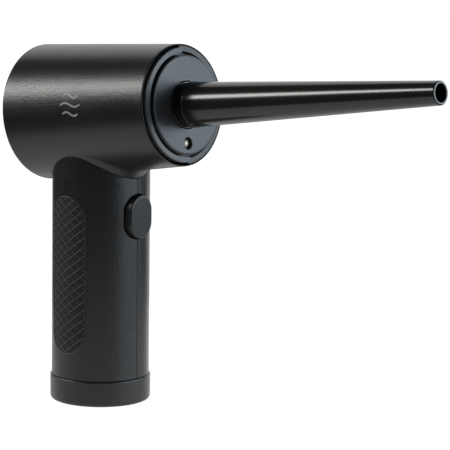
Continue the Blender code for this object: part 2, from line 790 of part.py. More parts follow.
def make_cell_frame():
    """The plastic frame that holds the two cells: a floor, a roof and a spine at the back."""
    low = CELL_BOTTOM - 0.0014
    high = CELL_BOTTOM + CELL_LENGTH + 0.0003
    floor = [(low, 0.0185), (low + 0.0011, 0.0185)]
    frame = piece("cell_frame", lathe_z("cell_frame", floor, 28, False), "gloss")
    roof = [(high, 0.0185), (high + 0.0012, 0.0185)]
    cut(frame, lathe_z("cell_roof", roof, 28, False), "UNION")
    spine = box_mesh("cell_spine", (-0.0166, -0.004, low + 0.0002), (-0.0112, 0.004, high + 0.0008))
    cut(frame, spine, "UNION")
    clear = box_mesh("board_room", (0.0066, -0.02, 0.02), (0.03, 0.02, 0.12))
    cut(frame, clear)


def make_light():
    """The status light's clear rod in its small hole."""
    piece("status_light", light_rod("status_light", 0.0006, 0.0192, 0.0213), "lens")


clear_scene()
make_base_cap()
make_foot_pad()
make_charge_board()
make_charge_socket()
make_handle_half("handle_left", 1)
make_handle_half("handle_right", -1)
make_grip_pad("grip_pad_left", 1)
make_grip_pad("grip_pad_right", -1)
make_light()
make_cell_frame()
make_cell("cell_left", 1)
make_cell("cell_right", -1)
make_control_board()
make_switch()
make_button()
make_drum_shell()
make_intake_cover()
make_intake_filter()
make_motor_case()
make_motor()
make_motor_shaft()
make_fan_wheel()
make_motor_mount()
make_air_funnel()
make_front_plate()
make_front_rings()
make_lamp()
make_nozzle_socket()
make_nozzle()
make_nozzle_seal()
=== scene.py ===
# %% [markdown]
# # A cordless air duster
# A small electric blower for a watchmaker's bench. A fan sits in the tapered drum, its cells stand in the
# round handle, and a long thin nozzle points the air. The frame loaded below already knows how the pieces
# move, so this lesson gives each piece its real surface and its real finish.

import json
import math

import bmesh
import bpy
from mathutils import Matrix, Vector


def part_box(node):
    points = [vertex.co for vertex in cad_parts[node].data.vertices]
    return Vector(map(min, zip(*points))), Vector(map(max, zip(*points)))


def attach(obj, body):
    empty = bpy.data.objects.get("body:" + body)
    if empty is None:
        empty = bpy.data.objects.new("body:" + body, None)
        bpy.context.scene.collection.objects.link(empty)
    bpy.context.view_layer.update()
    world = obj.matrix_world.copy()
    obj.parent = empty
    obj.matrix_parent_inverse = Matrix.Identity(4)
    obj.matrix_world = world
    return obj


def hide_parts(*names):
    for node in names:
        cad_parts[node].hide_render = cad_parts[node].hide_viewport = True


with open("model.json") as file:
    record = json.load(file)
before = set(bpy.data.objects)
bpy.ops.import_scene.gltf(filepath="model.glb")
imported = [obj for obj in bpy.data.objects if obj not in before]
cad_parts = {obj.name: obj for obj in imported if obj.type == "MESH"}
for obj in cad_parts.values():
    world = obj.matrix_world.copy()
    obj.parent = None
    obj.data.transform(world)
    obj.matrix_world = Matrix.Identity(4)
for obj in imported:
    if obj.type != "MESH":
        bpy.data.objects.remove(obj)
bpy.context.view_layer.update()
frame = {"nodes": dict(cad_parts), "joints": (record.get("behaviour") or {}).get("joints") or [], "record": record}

# %% [markdown]
# The drum, the fan and the nozzle share one axis, which climbs a little towards the front. The fan's joint
# already states that axis, so the drum's frame is taken from it: X runs along the drum, Z points up across
# it. A place along the drum is called a station from here on.

# %% The drum's own frame
spin = next(joint for joint in frame["joints"] if joint["name"] == "rotor_spin")
DRUM_ORIGIN = Vector(spin["pos_m"])
DRUM_AXIS = Vector(spin["axis"]).normalized()
DRUM_TILT = math.asin(DRUM_AXIS.z)
DRUM_FRAME = Matrix.Translation(DRUM_ORIGIN) @ Matrix.Rotation(-DRUM_TILT, 4, "Y")


def drum_span(node):
    """The first and last station of a node along the drum's axis, and its greatest radius about that axis."""
    back = DRUM_FRAME.inverted()
    local = [back @ vertex.co for vertex in frame["nodes"][node].data.vertices]
    stations = [point.x for point in local]
    return min(stations), max(stations), max(math.hypot(point.y, point.z) for point in local)


drum_rear, drum_front, _ = drum_span("drum_shell")
print("drum tilt", round(math.degrees(DRUM_TILT), 2))
print("drum from", round(drum_rear, 4), "to", round(drum_front, 4))

# %% [markdown]
# ## Camera
# The tool is looked at from its right and a little in front, from just above the nozzle. A long lens keeps
# the drum's outline almost parallel. The camera is placed by a turn, a rise and a distance from a point
# inside the handle, then moved aside so that the long nozzle fits.

# %% Camera
CAMERA_AIM = Vector((0, 0, 0.08))
CAMERA_TURN = math.radians(50.15)
CAMERA_RISE = math.radians(9.37)
CAMERA_ROLL = math.radians(0.74)
CAMERA_DISTANCE = 1.2
CAMERA_ASIDE = 0.05452
CAMERA_LIFT = -0.00253
LENS_MM = 218.08
SENSOR_MM = 36.0

towards = Vector(
    (
        math.cos(CAMERA_TURN) * math.cos(CAMERA_RISE),
        -math.sin(CAMERA_TURN) * math.cos(CAMERA_RISE),
        math.sin(CAMERA_RISE),
    )
)
level = Vector((0, 0, 1)).cross(towards).normalized()
upright = towards.cross(level)
rightward = math.cos(CAMERA_ROLL) * level + math.sin(CAMERA_ROLL) * upright
upward = towards.cross(rightward)
place = CAMERA_AIM + CAMERA_DISTANCE * towards + CAMERA_ASIDE * rightward + CAMERA_LIFT * upward

camera_data = bpy.data.cameras.new("camera")
camera_data.lens = LENS_MM
camera_data.sensor_width = SENSOR_MM
camera_data.clip_start = 0.05
camera_data.clip_end = 60.0
camera = bpy.data.objects.new("camera", camera_data)
bpy.context.scene.collection.objects.link(camera)
turned_to_tool = Matrix((rightward, upward, towards)).transposed().to_4x4()
camera.matrix_world = Matrix.Translation(place) @ turned_to_tool
bpy.context.scene.camera = camera
print("camera at", [round(v, 3) for v in place])

# %% [markdown]
# ## Studio
# A black object shows only what it reflects, so the studio is a few large soft panels. A warm one on the
# left, high and leaning, draws the bright band along the drum and the nozzle. A cool one in front lights
# the disc, and a wide white one behind edges the whole outline.

# %% Light panels
LIGHT_AIM = Vector((0.03, 0, 0.13))
WARM = (1.0, 0.985, 0.955)
COOL = (0.77, 0.9, 1.0)
WHITE = (1.0, 1.0, 1.0)


def panel(name, turn, rise, distance, size, radiance, colour, roll=0.0):
    """A rectangular light that faces the drum, bright enough to look like its radiance."""
    turn, rise = math.radians(turn), math.radians(rise)
    way = Vector((math.cos(turn) * math.cos(rise), math.sin(turn) * math.cos(rise), math.sin(rise)))
    data = bpy.data.lights.new(name, "AREA")
    data.shape = "RECTANGLE"
    data.size, data.size_y = size
    data.energy = radiance * math.pi * size[0] * size[1]
    data.color = colour
    light = bpy.data.objects.new(name, data)
    bpy.context.scene.collection.objects.link(light)
    facing = way.to_track_quat("Z", "Y").to_matrix().to_4x4()
    lean = Matrix.Rotation(math.radians(roll), 4, "Z")
    light.matrix_world = Matrix.Translation(LIGHT_AIM + way * distance) @ (facing @ lean)


panel("key_panel", turn=-140, rise=26.1, distance=3.0, size=(2.6, 0.7), radiance=12.2, colour=WARM, roll=22)
panel("front_panel", turn=30, rise=9, distance=1.4, size=(1.7, 0.72), radiance=5.0, colour=COOL)
panel("back_panel", turn=122, rise=19, distance=1.6, size=(2.2, 2.2), radiance=1.05, colour=WHITE)

# %% [markdown]
# A white table throws light back up under the tool, and lights the drum's belly and the handle's edges. A
# round lamp that faces up from the table does the same. The room itself is dark in reflections, because a
# black tool would turn grey in a white room, but the camera sees it white.

# %% Table glow and room
GLOW_PLACE = Vector((0.02, -0.02, -0.0015))
GLOW_WIDTH = 0.5
GLOW_RADIANCE = 0.75
ROOM_DARK = (0.05, 0.05, 0.052, 1)
ROOM_WHITE = (1, 1, 1, 1)

glow_data = bpy.data.lights.new("table_glow", "AREA")
glow_data.shape = "DISK"
glow_data.size = GLOW_WIDTH
glow_data.energy = GLOW_RADIANCE * math.pi * math.pi * (GLOW_WIDTH / 2) ** 2
glow = bpy.data.objects.new("table_glow", glow_data)
bpy.context.scene.collection.objects.link(glow)
glow.matrix_world = Matrix.Translation(GLOW_PLACE) @ Matrix.Rotation(math.pi, 4, "X")

world = bpy.data.worlds.new("studio")
world.use_nodes = True
bpy.context.scene.world = world
sky = world.node_tree.nodes["Background"]
paths = world.node_tree.nodes.new("ShaderNodeLightPath")
shade = world.node_tree.nodes.new("ShaderNodeMix")
shade.data_type = "RGBA"
shade.inputs["A"].default_value = ROOM_DARK
shade.inputs["B"].default_value = ROOM_WHITE
world.node_tree.links.new(paths.outputs["Is Camera Ray"], shade.inputs["Factor"])
world.node_tree.links.new(shade.outputs["Result"], sky.inputs["Color"])
print("table glow", GLOW_WIDTH, "m across")

# %% [markdown]
# The floor is pale and even. It shines by itself, so it stays the same white right up to the tool, and it
# is left out of reflections and bounces, because the table glow already stands for it there.

# %% Pale floor
FLOOR_REACH = 20.0
FLOOR_HEIGHT = -0.002
FLOOR_SHINE = 0.99

around = ((-1, -1), (1, -1), (1, 1), (-1, 1))
floor_mesh = bpy.data.meshes.new("floor")
floor_corners = [(FLOOR_REACH * x, FLOOR_REACH * y, FLOOR_HEIGHT) for x, y in around]
floor_mesh.from_pydata(floor_corners, [], [(0, 1, 2, 3)])
floor = bpy.data.objects.new("floor", floor_mesh)
bpy.context.scene.collection.objects.link(floor)
floor_paint = bpy.data.materials.new("pale_floor")
floor_paint.use_nodes = True
floor_shader = floor_paint.node_tree.nodes["Principled BSDF"]
floor_shader.inputs["Base Color"].default_value = (0.05, 0.05, 0.05, 1)
floor_shader.inputs["Roughness"].default_value = 0.9
floor_shader.inputs["Emission Color"].default_value = (1, 1, 1, 1)
floor_shader.inputs["Emission Strength"].default_value = FLOOR_SHINE
floor_mesh.materials.append(floor_paint)
floor.visible_glossy = False
floor.visible_diffuse = False
floor.visible_shadow = False
bpy.context.scene.view_settings.view_transform = "Standard"
print("floor", 2 * FLOOR_REACH, "m wide")

# %% [markdown]
# ## Finishes
# All the outer plastic is black, moulded in steel tools with a spark-eroded grain: a fine pebble that is
# barely visible but breaks up every highlight. One group of nodes makes that grain, and each finish sets
# its size and depth. The group also drifts slowly in tone, as a real moulding does.

# %% The moulded grain
def group_socket(tree, name, direction, kind, value=None):
    """Add one named socket to a node group."""
    socket = tree.interface.new_socket(name=name, in_out=direction, socket_type=kind)
    if value is not None:
        socket.default_value = value
    return socket


def make_grain_group():
    """Fine pebble and slow tone drift: gives a height, a tone from 0 to 1 and a roughness change."""
    tree = bpy.data.node_groups.new("moulded_grain", "ShaderNodeTree")
    group_socket(tree, "Place", "INPUT", "NodeSocketVector")
    group_socket(tree, "Pebbles per metre", "INPUT", "NodeSocketFloat", 2200.0)
    group_socket(tree, "Roughness", "INPUT", "NodeSocketFloat", 0.45)
    group_socket(tree, "Roughness change", "INPUT", "NodeSocketFloat", 0.05)
    group_socket(tree, "Height", "OUTPUT", "NodeSocketFloat")
    group_socket(tree, "Tone", "OUTPUT", "NodeSocketFloat")
    group_socket(tree, "Gloss", "OUTPUT", "NodeSocketFloat")
    nodes, links = tree.nodes, tree.links
    given = nodes.new("NodeGroupInput")
    result = nodes.new("NodeGroupOutput")
    pebble = nodes.new("ShaderNodeTexNoise")
    pebble.inputs["Detail"].default_value = 3.0
    pebble.inputs["Roughness"].default_value = 0.55
    links.new(given.outputs["Place"], pebble.inputs["Vector"])
    links.new(given.outputs["Pebbles per metre"], pebble.inputs["Scale"])
    drift = nodes.new("ShaderNodeTexNoise")
    drift.inputs["Scale"].default_value = 55.0
    drift.inputs["Detail"].default_value = 4.0
    links.new(given.outputs["Place"], drift.inputs["Vector"])
    both = nodes.new("ShaderNodeMix")
    both.inputs["Factor"].default_value = 0.35
    links.new(pebble.outputs["Fac"], both.inputs["A"])
    links.new(drift.outputs["Fac"], both.inputs["B"])
    centred = nodes.new("ShaderNodeMath")
    centred.operation = "SUBTRACT"
    centred.inputs[1].default_value = 0.5
    links.new(both.outputs["Result"], centred.inputs[0])
    gloss = nodes.new("ShaderNodeMath")
    gloss.operation = "MULTIPLY_ADD"
    links.new(centred.outputs["Value"], gloss.inputs[0])
    links.new(given.outputs["Roughness change"], gloss.inputs[1])
    links.new(given.outputs["Roughness"], gloss.inputs[2])
    links.new(pebble.outputs["Fac"], result.inputs["Height"])
    links.new(both.outputs["Result"], result.inputs["Tone"])
    links.new(gloss.outputs["Value"], result.inputs["Gloss"])
    return tree


moulded_grain = make_grain_group()
print("grain group sockets", len(moulded_grain.interface.items_tree))

# %% [markdown]
# Every finish is the same recipe with its own numbers: two close shades mixed by the grain's tone, the
# grain's gloss on the roughness, and its height on a very shallow bump.

# %% A finish from numbers
def finish(
    name,
    dark,
    light,
    roughness,
    change=0.08,
    pebbles=2200.0,
    depth=0.00002,
    metallic=0.0,
    strength=0.5,
    shine=0.5,
):
    """A Principled material whose shade, gloss and surface come from the moulded grain."""
    material = bpy.data.materials.new(name)
    material.use_nodes = True
    nodes, links = material.node_tree.nodes, material.node_tree.links
    shader = nodes["Principled BSDF"]
    shader.inputs["Metallic"].default_value = metallic
    shader.inputs["Specular IOR Level"].default_value = shine
    where = nodes.new("ShaderNodeTexCoord")
    grain = nodes.new("ShaderNodeGroup")
    grain.node_tree = moulded_grain
    grain.inputs["Pebbles per metre"].default_value = pebbles
    grain.inputs["Roughness"].default_value = roughness
    grain.inputs["Roughness change"].default_value = change
    links.new(where.outputs["Object"], grain.inputs["Place"])
    shades = nodes.new("ShaderNodeMix")
    shades.data_type = "RGBA"
    shades.inputs["A"].default_value = (*dark, 1)
    shades.inputs["B"].default_value = (*light, 1)
    links.new(grain.outputs["Tone"], shades.inputs["Factor"])
    links.new(shades.outputs["Result"], shader.inputs["Base Color"])
    links.new(grain.outputs["Gloss"], shader.inputs["Roughness"])
    bump = nodes.new("ShaderNodeBump")
    bump.inputs["Strength"].default_value = strength
    bump.inputs["Distance"].default_value = depth
    links.new(grain.outputs["Height"], bump.inputs["Height"])
    links.new(bump.outputs["Normal"], shader.inputs["Normal"])
    return material


print("finish recipe uses", moulded_grain.name)

# %% [markdown]
# The outer mouldings are all close to black, but not alike. The shell is matt, the disc is a blue-grey, the
# raised half ring beside it is painted lighter to stand for light that the disc's edge shades off it, and the
# nozzle is glossy from a polished tool. The rubber of the pads is darker and duller than its ridges, which are
# painted lighter to stand for the highlights their sides catch.

# %% Outer finishes
shell_black = finish(
    "shell_black", dark=(0.006, 0.006, 0.0062), light=(0.011, 0.011, 0.0113),
    roughness=0.32, change=0.25, pebbles=1300.0, depth=0.0002,
)
disc_grey = finish(
    "disc_grey", dark=(0.014, 0.0148, 0.016), light=(0.026, 0.0275, 0.03),
    roughness=0.34, change=0.25, pebbles=1200.0, depth=0.00024,
)
trim_black = finish(
    "trim_black", dark=(0.007, 0.0073, 0.0078), light=(0.013, 0.0136, 0.0146),
    roughness=0.4, change=0.2, pebbles=1300.0, depth=0.0001,
)
# Painted light: this bead finish is a lighter copy of the band's trim, standing for light that the disc's edge
# shades off the bead.
bead_grey_painted_light = finish(
    "bead_grey_painted_light", dark=(0.036, 0.038, 0.041), light=(0.054, 0.057, 0.062),
    roughness=0.38, change=0.2, pebbles=1400.0, depth=0.0001,
)
nozzle_black = finish(
    "nozzle_black", dark=(0.0085, 0.0082, 0.0076), light=(0.0125, 0.0121, 0.0113),
    roughness=0.19, change=0.04, pebbles=2400.0, depth=0.000004,
)
button_black = finish(
    "button_black", dark=(0.008, 0.0082, 0.0087), light=(0.014, 0.0143, 0.015),
    roughness=0.32,
)
grip_rubber = finish(
    "grip_rubber", dark=(0.004, 0.004, 0.0041), light=(0.009, 0.009, 0.0093),
    roughness=0.6, change=0.12, pebbles=1300.0, depth=0.0001, shine=0.3,
)
# Painted highlight: the ridges are the pads' own rubber, painted lighter to stand for the light their sides catch.
ridge_rubber_painted_highlight = finish(
    "ridge_rubber_painted_highlight", dark=(0.026, 0.026, 0.0262), light=(0.042, 0.042, 0.0423),
    roughness=0.5, change=0.1, pebbles=1300.0, depth=0.00003, shine=0.35,
)
foot_rubber = finish(
    "foot_rubber", dark=(0.012, 0.012, 0.012), light=(0.022, 0.022, 0.022),
    roughness=0.8, change=0.1, pebbles=900.0, depth=0.00006,
)
mark_print = finish(
    "mark_print", dark=(0.22, 0.27, 0.27), light=(0.3, 0.35, 0.35),
    roughness=0.5, change=0.1, pebbles=1800.0,
)
print("outer finishes", shell_black.name, disc_grey.name, nozzle_black.name)

# %% [markdown]
# Inside, the materials are those of any small power tool: green circuit board, plated steel, an aluminium
# fan, copper windings, printed sleeves on the cells, felt in the intake and a yellow lamp chip.

# %% Inner finishes
inner_plastic = finish(
    "inner_plastic", dark=(0.014, 0.014, 0.015), light=(0.024, 0.024, 0.026),
    roughness=0.5,
)
circuit_green = finish(
    "circuit_green", dark=(0.008, 0.07, 0.028), light=(0.015, 0.11, 0.045),
    roughness=0.4, change=0.1, pebbles=700.0,
)
plated_steel = finish(
    "plated_steel", dark=(0.5, 0.5, 0.51), light=(0.66, 0.66, 0.68),
    roughness=0.28, change=0.15, pebbles=900.0, depth=0.00001, metallic=1.0,
)
fan_aluminium = finish(
    "fan_aluminium", dark=(0.45, 0.46, 0.47), light=(0.62, 0.63, 0.65),
    roughness=0.36, change=0.15, pebbles=700.0, depth=0.00001, metallic=1.0,
)
winding_copper = finish(
    "winding_copper", dark=(0.38, 0.14, 0.06), light=(0.6, 0.27, 0.13),
    roughness=0.38, change=0.2, pebbles=1300.0, depth=0.0001, metallic=1.0,
)
cell_sleeve = finish(
    "cell_sleeve", dark=(0.01, 0.1, 0.22), light=(0.015, 0.15, 0.3),
    roughness=0.35, change=0.1, pebbles=300.0,
)
filter_felt = finish(
    "filter_felt", dark=(0.02, 0.02, 0.02), light=(0.075, 0.075, 0.075),
    roughness=0.95, change=0.05, pebbles=2600.0, depth=0.0004, strength=1.0,
)
lamp_yellow = finish(
    "lamp_yellow", dark=(0.62, 0.46, 0.09), light=(0.85, 0.66, 0.18),
    roughness=0.45, change=0.1, pebbles=1800.0,
)
print("finishes", len([m for m in bpy.data.materials if m.use_nodes]))

# %% [markdown]
# The lamp's lens is clear moulded plastic. Light passes through it and shows the yellow chip behind. The
# tiny charge light is the same plastic in smoke grey.

# %% Clear plastic
def clear_plastic(name, tint, clearness=0.8):
    """A clear moulding with a slightly uneven surface."""
    material = bpy.data.materials.new(name)
    material.use_nodes = True
    nodes, links = material.node_tree.nodes, material.node_tree.links
    shader = nodes["Principled BSDF"]
    shader.inputs["Base Color"].default_value = (*tint, 1)
    shader.inputs["Roughness"].default_value = 0.08
    shader.inputs["IOR"].default_value = 1.49
    shader.inputs["Transmission Weight"].default_value = clearness
    where = nodes.new("ShaderNodeTexCoord")
    grain = nodes.new("ShaderNodeGroup")
    grain.node_tree = moulded_grain
    grain.inputs["Pebbles per metre"].default_value = 400.0
    links.new(where.outputs["Object"], grain.inputs["Place"])
    bump = nodes.new("ShaderNodeBump")
    bump.inputs["Strength"].default_value = 0.2
    bump.inputs["Distance"].default_value = 0.00005
    links.new(grain.outputs["Height"], bump.inputs["Height"])
    links.new(bump.outputs["Normal"], shader.inputs["Normal"])
    return material


lamp_clear = clear_plastic("lamp_clear", (0.85, 0.78, 0.62), 0.25)
clear_light = clear_plastic("clear_light", (0.05, 0.05, 0.055))
print("clear finishes", lamp_clear.name, clear_light.name)

# %% [markdown]
# ## Shaping
# Real moulded edges are never sharp, and a rounded edge catches light. So a profile is a list of corners,
# each with its own small rounding, and this helper bends each corner into a short curve.

# %% Rounded corners
def softened(corners, closed=True, steps=5):
    """Round each corner (along, out, rounding) of a profile and return its points."""
    points = []
    count = len(corners)
    for i, (along, out, rounding) in enumerate(corners):
        inner = closed or 0 < i < count - 1
        if not rounding or not inner:
            points.append((along, out))
            continue
        here = Vector((along, out))
        before = Vector(corners[(i - 1) % count][:2]) - here
        after = Vector(corners[(i + 1) % count][:2]) - here
        start = here + before.normalized() * min(rounding, before.length * 0.49)
        end = here + after.normalized() * min(rounding, after.length * 0.49)
        for step in range(steps + 1):
            t = step / steps
            point = (1 - t) ** 2 * start + 2 * t * (1 - t) * here + t**2 * end
            points.append((point.x, point.y))
    return points


print("one rounded corner has", len(softened([(0, 0, 0), (0, 1, 0.2), (1, 1, 0)])) - 2, "points")

# %% [markdown]
# Every piece ends the same way: its faces are turned outwards, it is put in its place and it is shaded
# smoothly. An edge that bends more than the given angle stays crisp.

# %% Settle a piece
CRISP_ANGLE = 32.0


def smooth(mesh, degrees=CRISP_ANGLE):
    """Shade a mesh smoothly, keeping its real edges crisp."""
    mesh.shade_smooth()
    mesh.set_sharp_from_angle(angle=math.radians(degrees))


def settled(name, body, place=None):
    """Turn a working mesh into an object with outward faces, in its place."""
    bmesh.ops.recalc_face_normals(body, faces=body.faces)
    mesh = bpy.data.meshes.new(name)
    body.to_mesh(mesh)
    body.free()
    if place:
        mesh.transform(place)
    smooth(mesh)
    made = bpy.data.objects.new(name, mesh)
    bpy.context.scene.collection.objects.link(made)
    return made


print("edges stay crisp above", CRISP_ANGLE, "degrees")

# %% [markdown]
# Most of the tool is round, so most pieces start as a turned profile, as on a lathe: each corner is given by
# how far along the axis it lies and how far out. A closed profile makes a ring. An open one starts and
# ends on the axis and makes a solid body. A rod is the simplest case, used for holes and stems.

# %% Turned shapes
def turned(name, corners, axis="X", steps=160, closed=True, place=None):
    """Spin a profile of corners round an axis into a closed mesh object."""
    profile = softened(corners, closed)
    body = bmesh.new()
    if axis == "X":
        row = [body.verts.new((along, 0, out)) for along, out in profile]
        about = (1, 0, 0)
    else:
        row = [body.verts.new((out, 0, along)) for along, out in profile]
        about = (0, 0, 1)
    edges = [body.edges.new((a, b)) for a, b in zip(row, row[1:])]
    if closed:
        edges.append(body.edges.new((row[-1], row[0])))
    bmesh.ops.spin(
        body, geom=row + edges, cent=(0, 0, 0), axis=about, angle=2 * math.pi, steps=steps, use_merge=True
    )
    bmesh.ops.remove_doubles(body, verts=body.verts, dist=2e-7)
    bmesh.ops.dissolve_degenerate(body, edges=body.edges, dist=1e-8)
    return settled(name, body, place)


def rod(name, start, end, radius, axis, steps):
    """A plain solid rod along an axis."""
    corners = [(start, 0, 0), (start, radius, 0), (end, radius, 0), (end, 0, 0)]
    return turned(name, corners, axis, steps, closed=False)


print("turned shapes are spun in steps of", round(360 / 160, 2), "degrees")

# %% [markdown]
# Pieces that are not round are lofted: a row of loops with the same number of points is joined by faces.
# The row closes on itself for a ring, and is capped at both ends otherwise.

# %% Lofted shapes
def from_loops(name, loops, ringed=False, place=None):
    """Join loops of equal count into a closed mesh object."""
    body = bmesh.new()
    rows = [[body.verts.new(point) for point in loop] for loop in loops]
    count = len(rows[0])
    for i in range(len(rows) if ringed else len(rows) - 1):
        here, there = rows[i], rows[(i + 1) % len(rows)]
        for j in range(count):
            k = (j + 1) % count
            body.faces.new((here[j], here[k], there[k], there[j]))
    if not ringed:
        body.faces.new(rows[0])
        body.faces.new(list(reversed(rows[-1])))
    return settled(name, body, place)


print("loft helper:", from_loops.__name__)

# %% [markdown]
# Holes and joins are made with Boolean modifiers, and each is applied at once, so that what follows works on
# a plain mesh. The exact solver is slower but leaves no gaps.

# %% Carving
def applied(made):
    """Replace an object's mesh by what its modifiers make of it."""
    bpy.context.view_layer.update()
    depsgraph = bpy.context.evaluated_depsgraph_get()
    mesh = bpy.data.meshes.new_from_object(made.evaluated_get(depsgraph))
    made.modifiers.clear()
    made.data = mesh
    return mesh


def carve(target, tool, operation="DIFFERENCE"):
    """Cut a tool body out of the target, or join it on, and throw the tool away."""
    work = target.modifiers.new("carve", "BOOLEAN")
    work.operation = operation
    work.solver = "EXACT"
    work.object = tool
    smooth(applied(target))
    bpy.data.objects.remove(tool)
    return target


print("carving helper:", carve.__name__)

# %% [markdown]
# The last step fits a piece to the tool. Weighted normals keep its flat faces looking flat beside rounded
# edges. Then it gets its finish, rides on its body and stands for its nodes.

# %% Fit a piece
def fit(made, body, material, slot, *nodes):
    """Give a piece its finish, let it ride on its body and stand for its nodes."""
    level_normals = made.modifiers.new("level_normals", "WEIGHTED_NORMAL")
    level_normals.keep_sharp = True
    mesh = applied(made)
    mesh.materials.clear()
    mesh.materials.append(material)
    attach(made, body)
    if nodes:
        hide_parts(*nodes)
    print(made.name, "faces", len(made.data.polygons))
    return made


# %% [markdown]
# ## Drum and neck
# The drum is one tapered moulding. Where the handle meets it, a fillet sweeps from the handle's side out
# into the drum. The fillet is deep at the front and fades away at the sides, because the drum bulges past
# the handle there. First come the surfaces that both pieces share.

# %% Drum surface
HANDLE_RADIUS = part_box("handle_right")[1].x
DRUM_REAR_RADIUS = 0.03
DRUM_FRONT_RADIUS = 0.02616
DRUM_TAPER = (DRUM_FRONT_RADIUS - 0.02996) / 0.079
NECK_LEAST = 0.0001
NECK_DROP_FRONT = 0.0032
NECK_DROP_REAR = 0.0008
NECK_FLARE = 0.0045
NECK_FADE = 1.5
SETTLING_ROUNDS = 24


def drum_radius(station):
    """The drum's outer radius at a station."""
    return DRUM_REAR_RADIUS + DRUM_TAPER * (station - drum_rear)


def drum_underside(x, y):
    """The height of the drum's lower surface over a point of the floor."""
    height = DRUM_ORIGIN.z - DRUM_REAR_RADIUS
    for _ in range(SETTLING_ROUNDS):
        station = x * math.cos(DRUM_TILT) + (height - DRUM_ORIGIN.z) * math.sin(DRUM_TILT)
        drop = math.sqrt(drum_radius(station) ** 2 - y * y)
        height = DRUM_ORIGIN.z + (x * math.sin(DRUM_TILT) - drop) / math.cos(DRUM_TILT)
    return height


def neck_size(turn):
    """How far the fillet reaches down the handle and out along the drum."""
    facing = math.cos(turn)
    share = abs(facing) ** NECK_FADE
    if facing > 0:
        return NECK_LEAST + NECK_DROP_FRONT * share, NECK_LEAST + NECK_FLARE * share
    return NECK_LEAST + NECK_DROP_REAR * share, NECK_LEAST + NECK_DROP_REAR * share


def neck_edge(turn):
    """The height at which the handle's top edge meets the neck."""
    under = drum_underside(HANDLE_RADIUS * math.cos(turn), HANDLE_RADIUS * math.sin(turn))
    return under - neck_size(turn)[0]


print("neck from", round(neck_edge(math.pi), 4), "to", round(neck_edge(math.pi / 2), 4))

# %% [markdown]
# The fillet is a ring of loops, one loop for each direction round the handle. Each loop climbs the hollow
# curve from the handle's edge to the drum, then turns back through the inside of the drum, where the join
# is hidden. The curve is a plain quadratic one whose middle point sets how hollow it is.

# %% Neck fillet
NECK_COLUMNS = 144
NECK_INNER = 0.0169
NECK_LIP = 0.0002
NECK_EDGE = 0.00015
NECK_HOLLOW = 0.35
NECK_BEND = 0.6
NECK_SINK = 0.0045


def neck_ring():
    """The fillet as a closed ring of loops round the handle."""
    loops = []
    for i in range(NECK_COLUMNS):
        turn = 2 * math.pi * i / NECK_COLUMNS
        across, along = math.cos(turn), math.sin(turn)
        flare = HANDLE_RADIUS + neck_size(turn)[1]
        low = neck_edge(turn)
        high = drum_underside(flare * across, flare * along)
        waist = HANDLE_RADIUS + NECK_HOLLOW * (flare - HANDLE_RADIUS)
        bend = low + NECK_BEND * (high - low)
        rows = [(NECK_INNER, low), (HANDLE_RADIUS - NECK_LIP, low), (HANDLE_RADIUS, low + NECK_EDGE)]
        for step in (0.2, 0.4, 0.6, 0.8):
            out = (1 - step) ** 2 * HANDLE_RADIUS + 2 * step * (1 - step) * waist + step**2 * flare
            up = (1 - step) ** 2 * low + 2 * step * (1 - step) * bend + step**2 * high
            rows.append((out, max(up, low + NECK_LIP)))
        rows.append((flare, high + 0.00006))
        rows.append((NECK_INNER, high + NECK_SINK))
        loops.append([(r * across, r * along, z) for r, z in rows])
    return from_loops("neck_fillet", loops, ringed=True)


neck = neck_ring()
print("neck fillet faces", len(neck.data.polygons))

# %% [markdown]
# The outside of the drum is turned in one piece, with plenty of points along its side so that the join with
# the fillet leaves no long thin faces. The fillet and the spigot, which drops into the handle, are joined
# on. Then the inside is cut out, wider at the mouth for the disc and its rings, and the wires get a hole.

# %% Drum housing
SIDE_STATIONS = 24
DRUM_WALL = 0.0022
REAR_BORE = 0.0278
SHELF_STATION = 0.0395
RIM_BORE = 0.0255
RIM_CHAMFER = 0.0023
SPIGOT_BOTTOM, SPIGOT_TOP = 0.0952, 0.1125
SPIGOT_INNER, SPIGOT_OUTER = 0.0165, 0.0189
PASSAGE_RADIUS = 0.0155

side = [
    (
        drum_rear + share / SIDE_STATIONS * (drum_front - drum_rear),
        DRUM_REAR_RADIUS - share / SIDE_STATIONS * (DRUM_REAR_RADIUS - DRUM_FRONT_RADIUS),
        0,
    )
    for share in range(1, SIDE_STATIONS)
]
outside = [
    (drum_rear, 0.0, 0),
    (drum_rear, DRUM_REAR_RADIUS, 0.0016),
    *side,
    (drum_front, DRUM_FRONT_RADIUS, 0.0006),
    (drum_front, 0.0, 0),
]
drum = turned("drum_housing", outside, closed=False, steps=192, place=DRUM_FRAME)
carve(drum, neck, "UNION")
spigot_wall = [
    (SPIGOT_BOTTOM, SPIGOT_INNER, 0),
    (SPIGOT_BOTTOM, SPIGOT_OUTER, 0),
    (SPIGOT_TOP, SPIGOT_OUTER, 0),
    (SPIGOT_TOP, SPIGOT_INNER, 0),
]
carve(drum, turned("spigot", spigot_wall, "Z", 96), "UNION")
inside = [
    (drum_rear - 0.004, 0.0, 0),
    (drum_rear - 0.004, REAR_BORE + 0.004, 0),
    (drum_rear, REAR_BORE, 0.0004),
    (SHELF_STATION, drum_radius(SHELF_STATION) - DRUM_WALL, 0),
    (SHELF_STATION, RIM_BORE, 0),
    (drum_front - 0.0003, RIM_BORE, 0.0002),
    (drum_front + 0.002, RIM_BORE + RIM_CHAMFER, 0),
    (drum_front + 0.002, 0.0, 0),
]
carve(drum, turned("drum_inside", inside, closed=False, steps=192, place=DRUM_FRAME))
carve(drum, rod("wire_passage", 0.09, 0.116, PASSAGE_RADIUS, "Z", 96))
fit(drum, "housing", shell_black, "shell_black", "drum_shell")

# %% [markdown]
# ## Handle
# The handle carries the button, the grip pads and the tiny charge light. Their sizes come from the frame,
# so that each opening fits its piece.

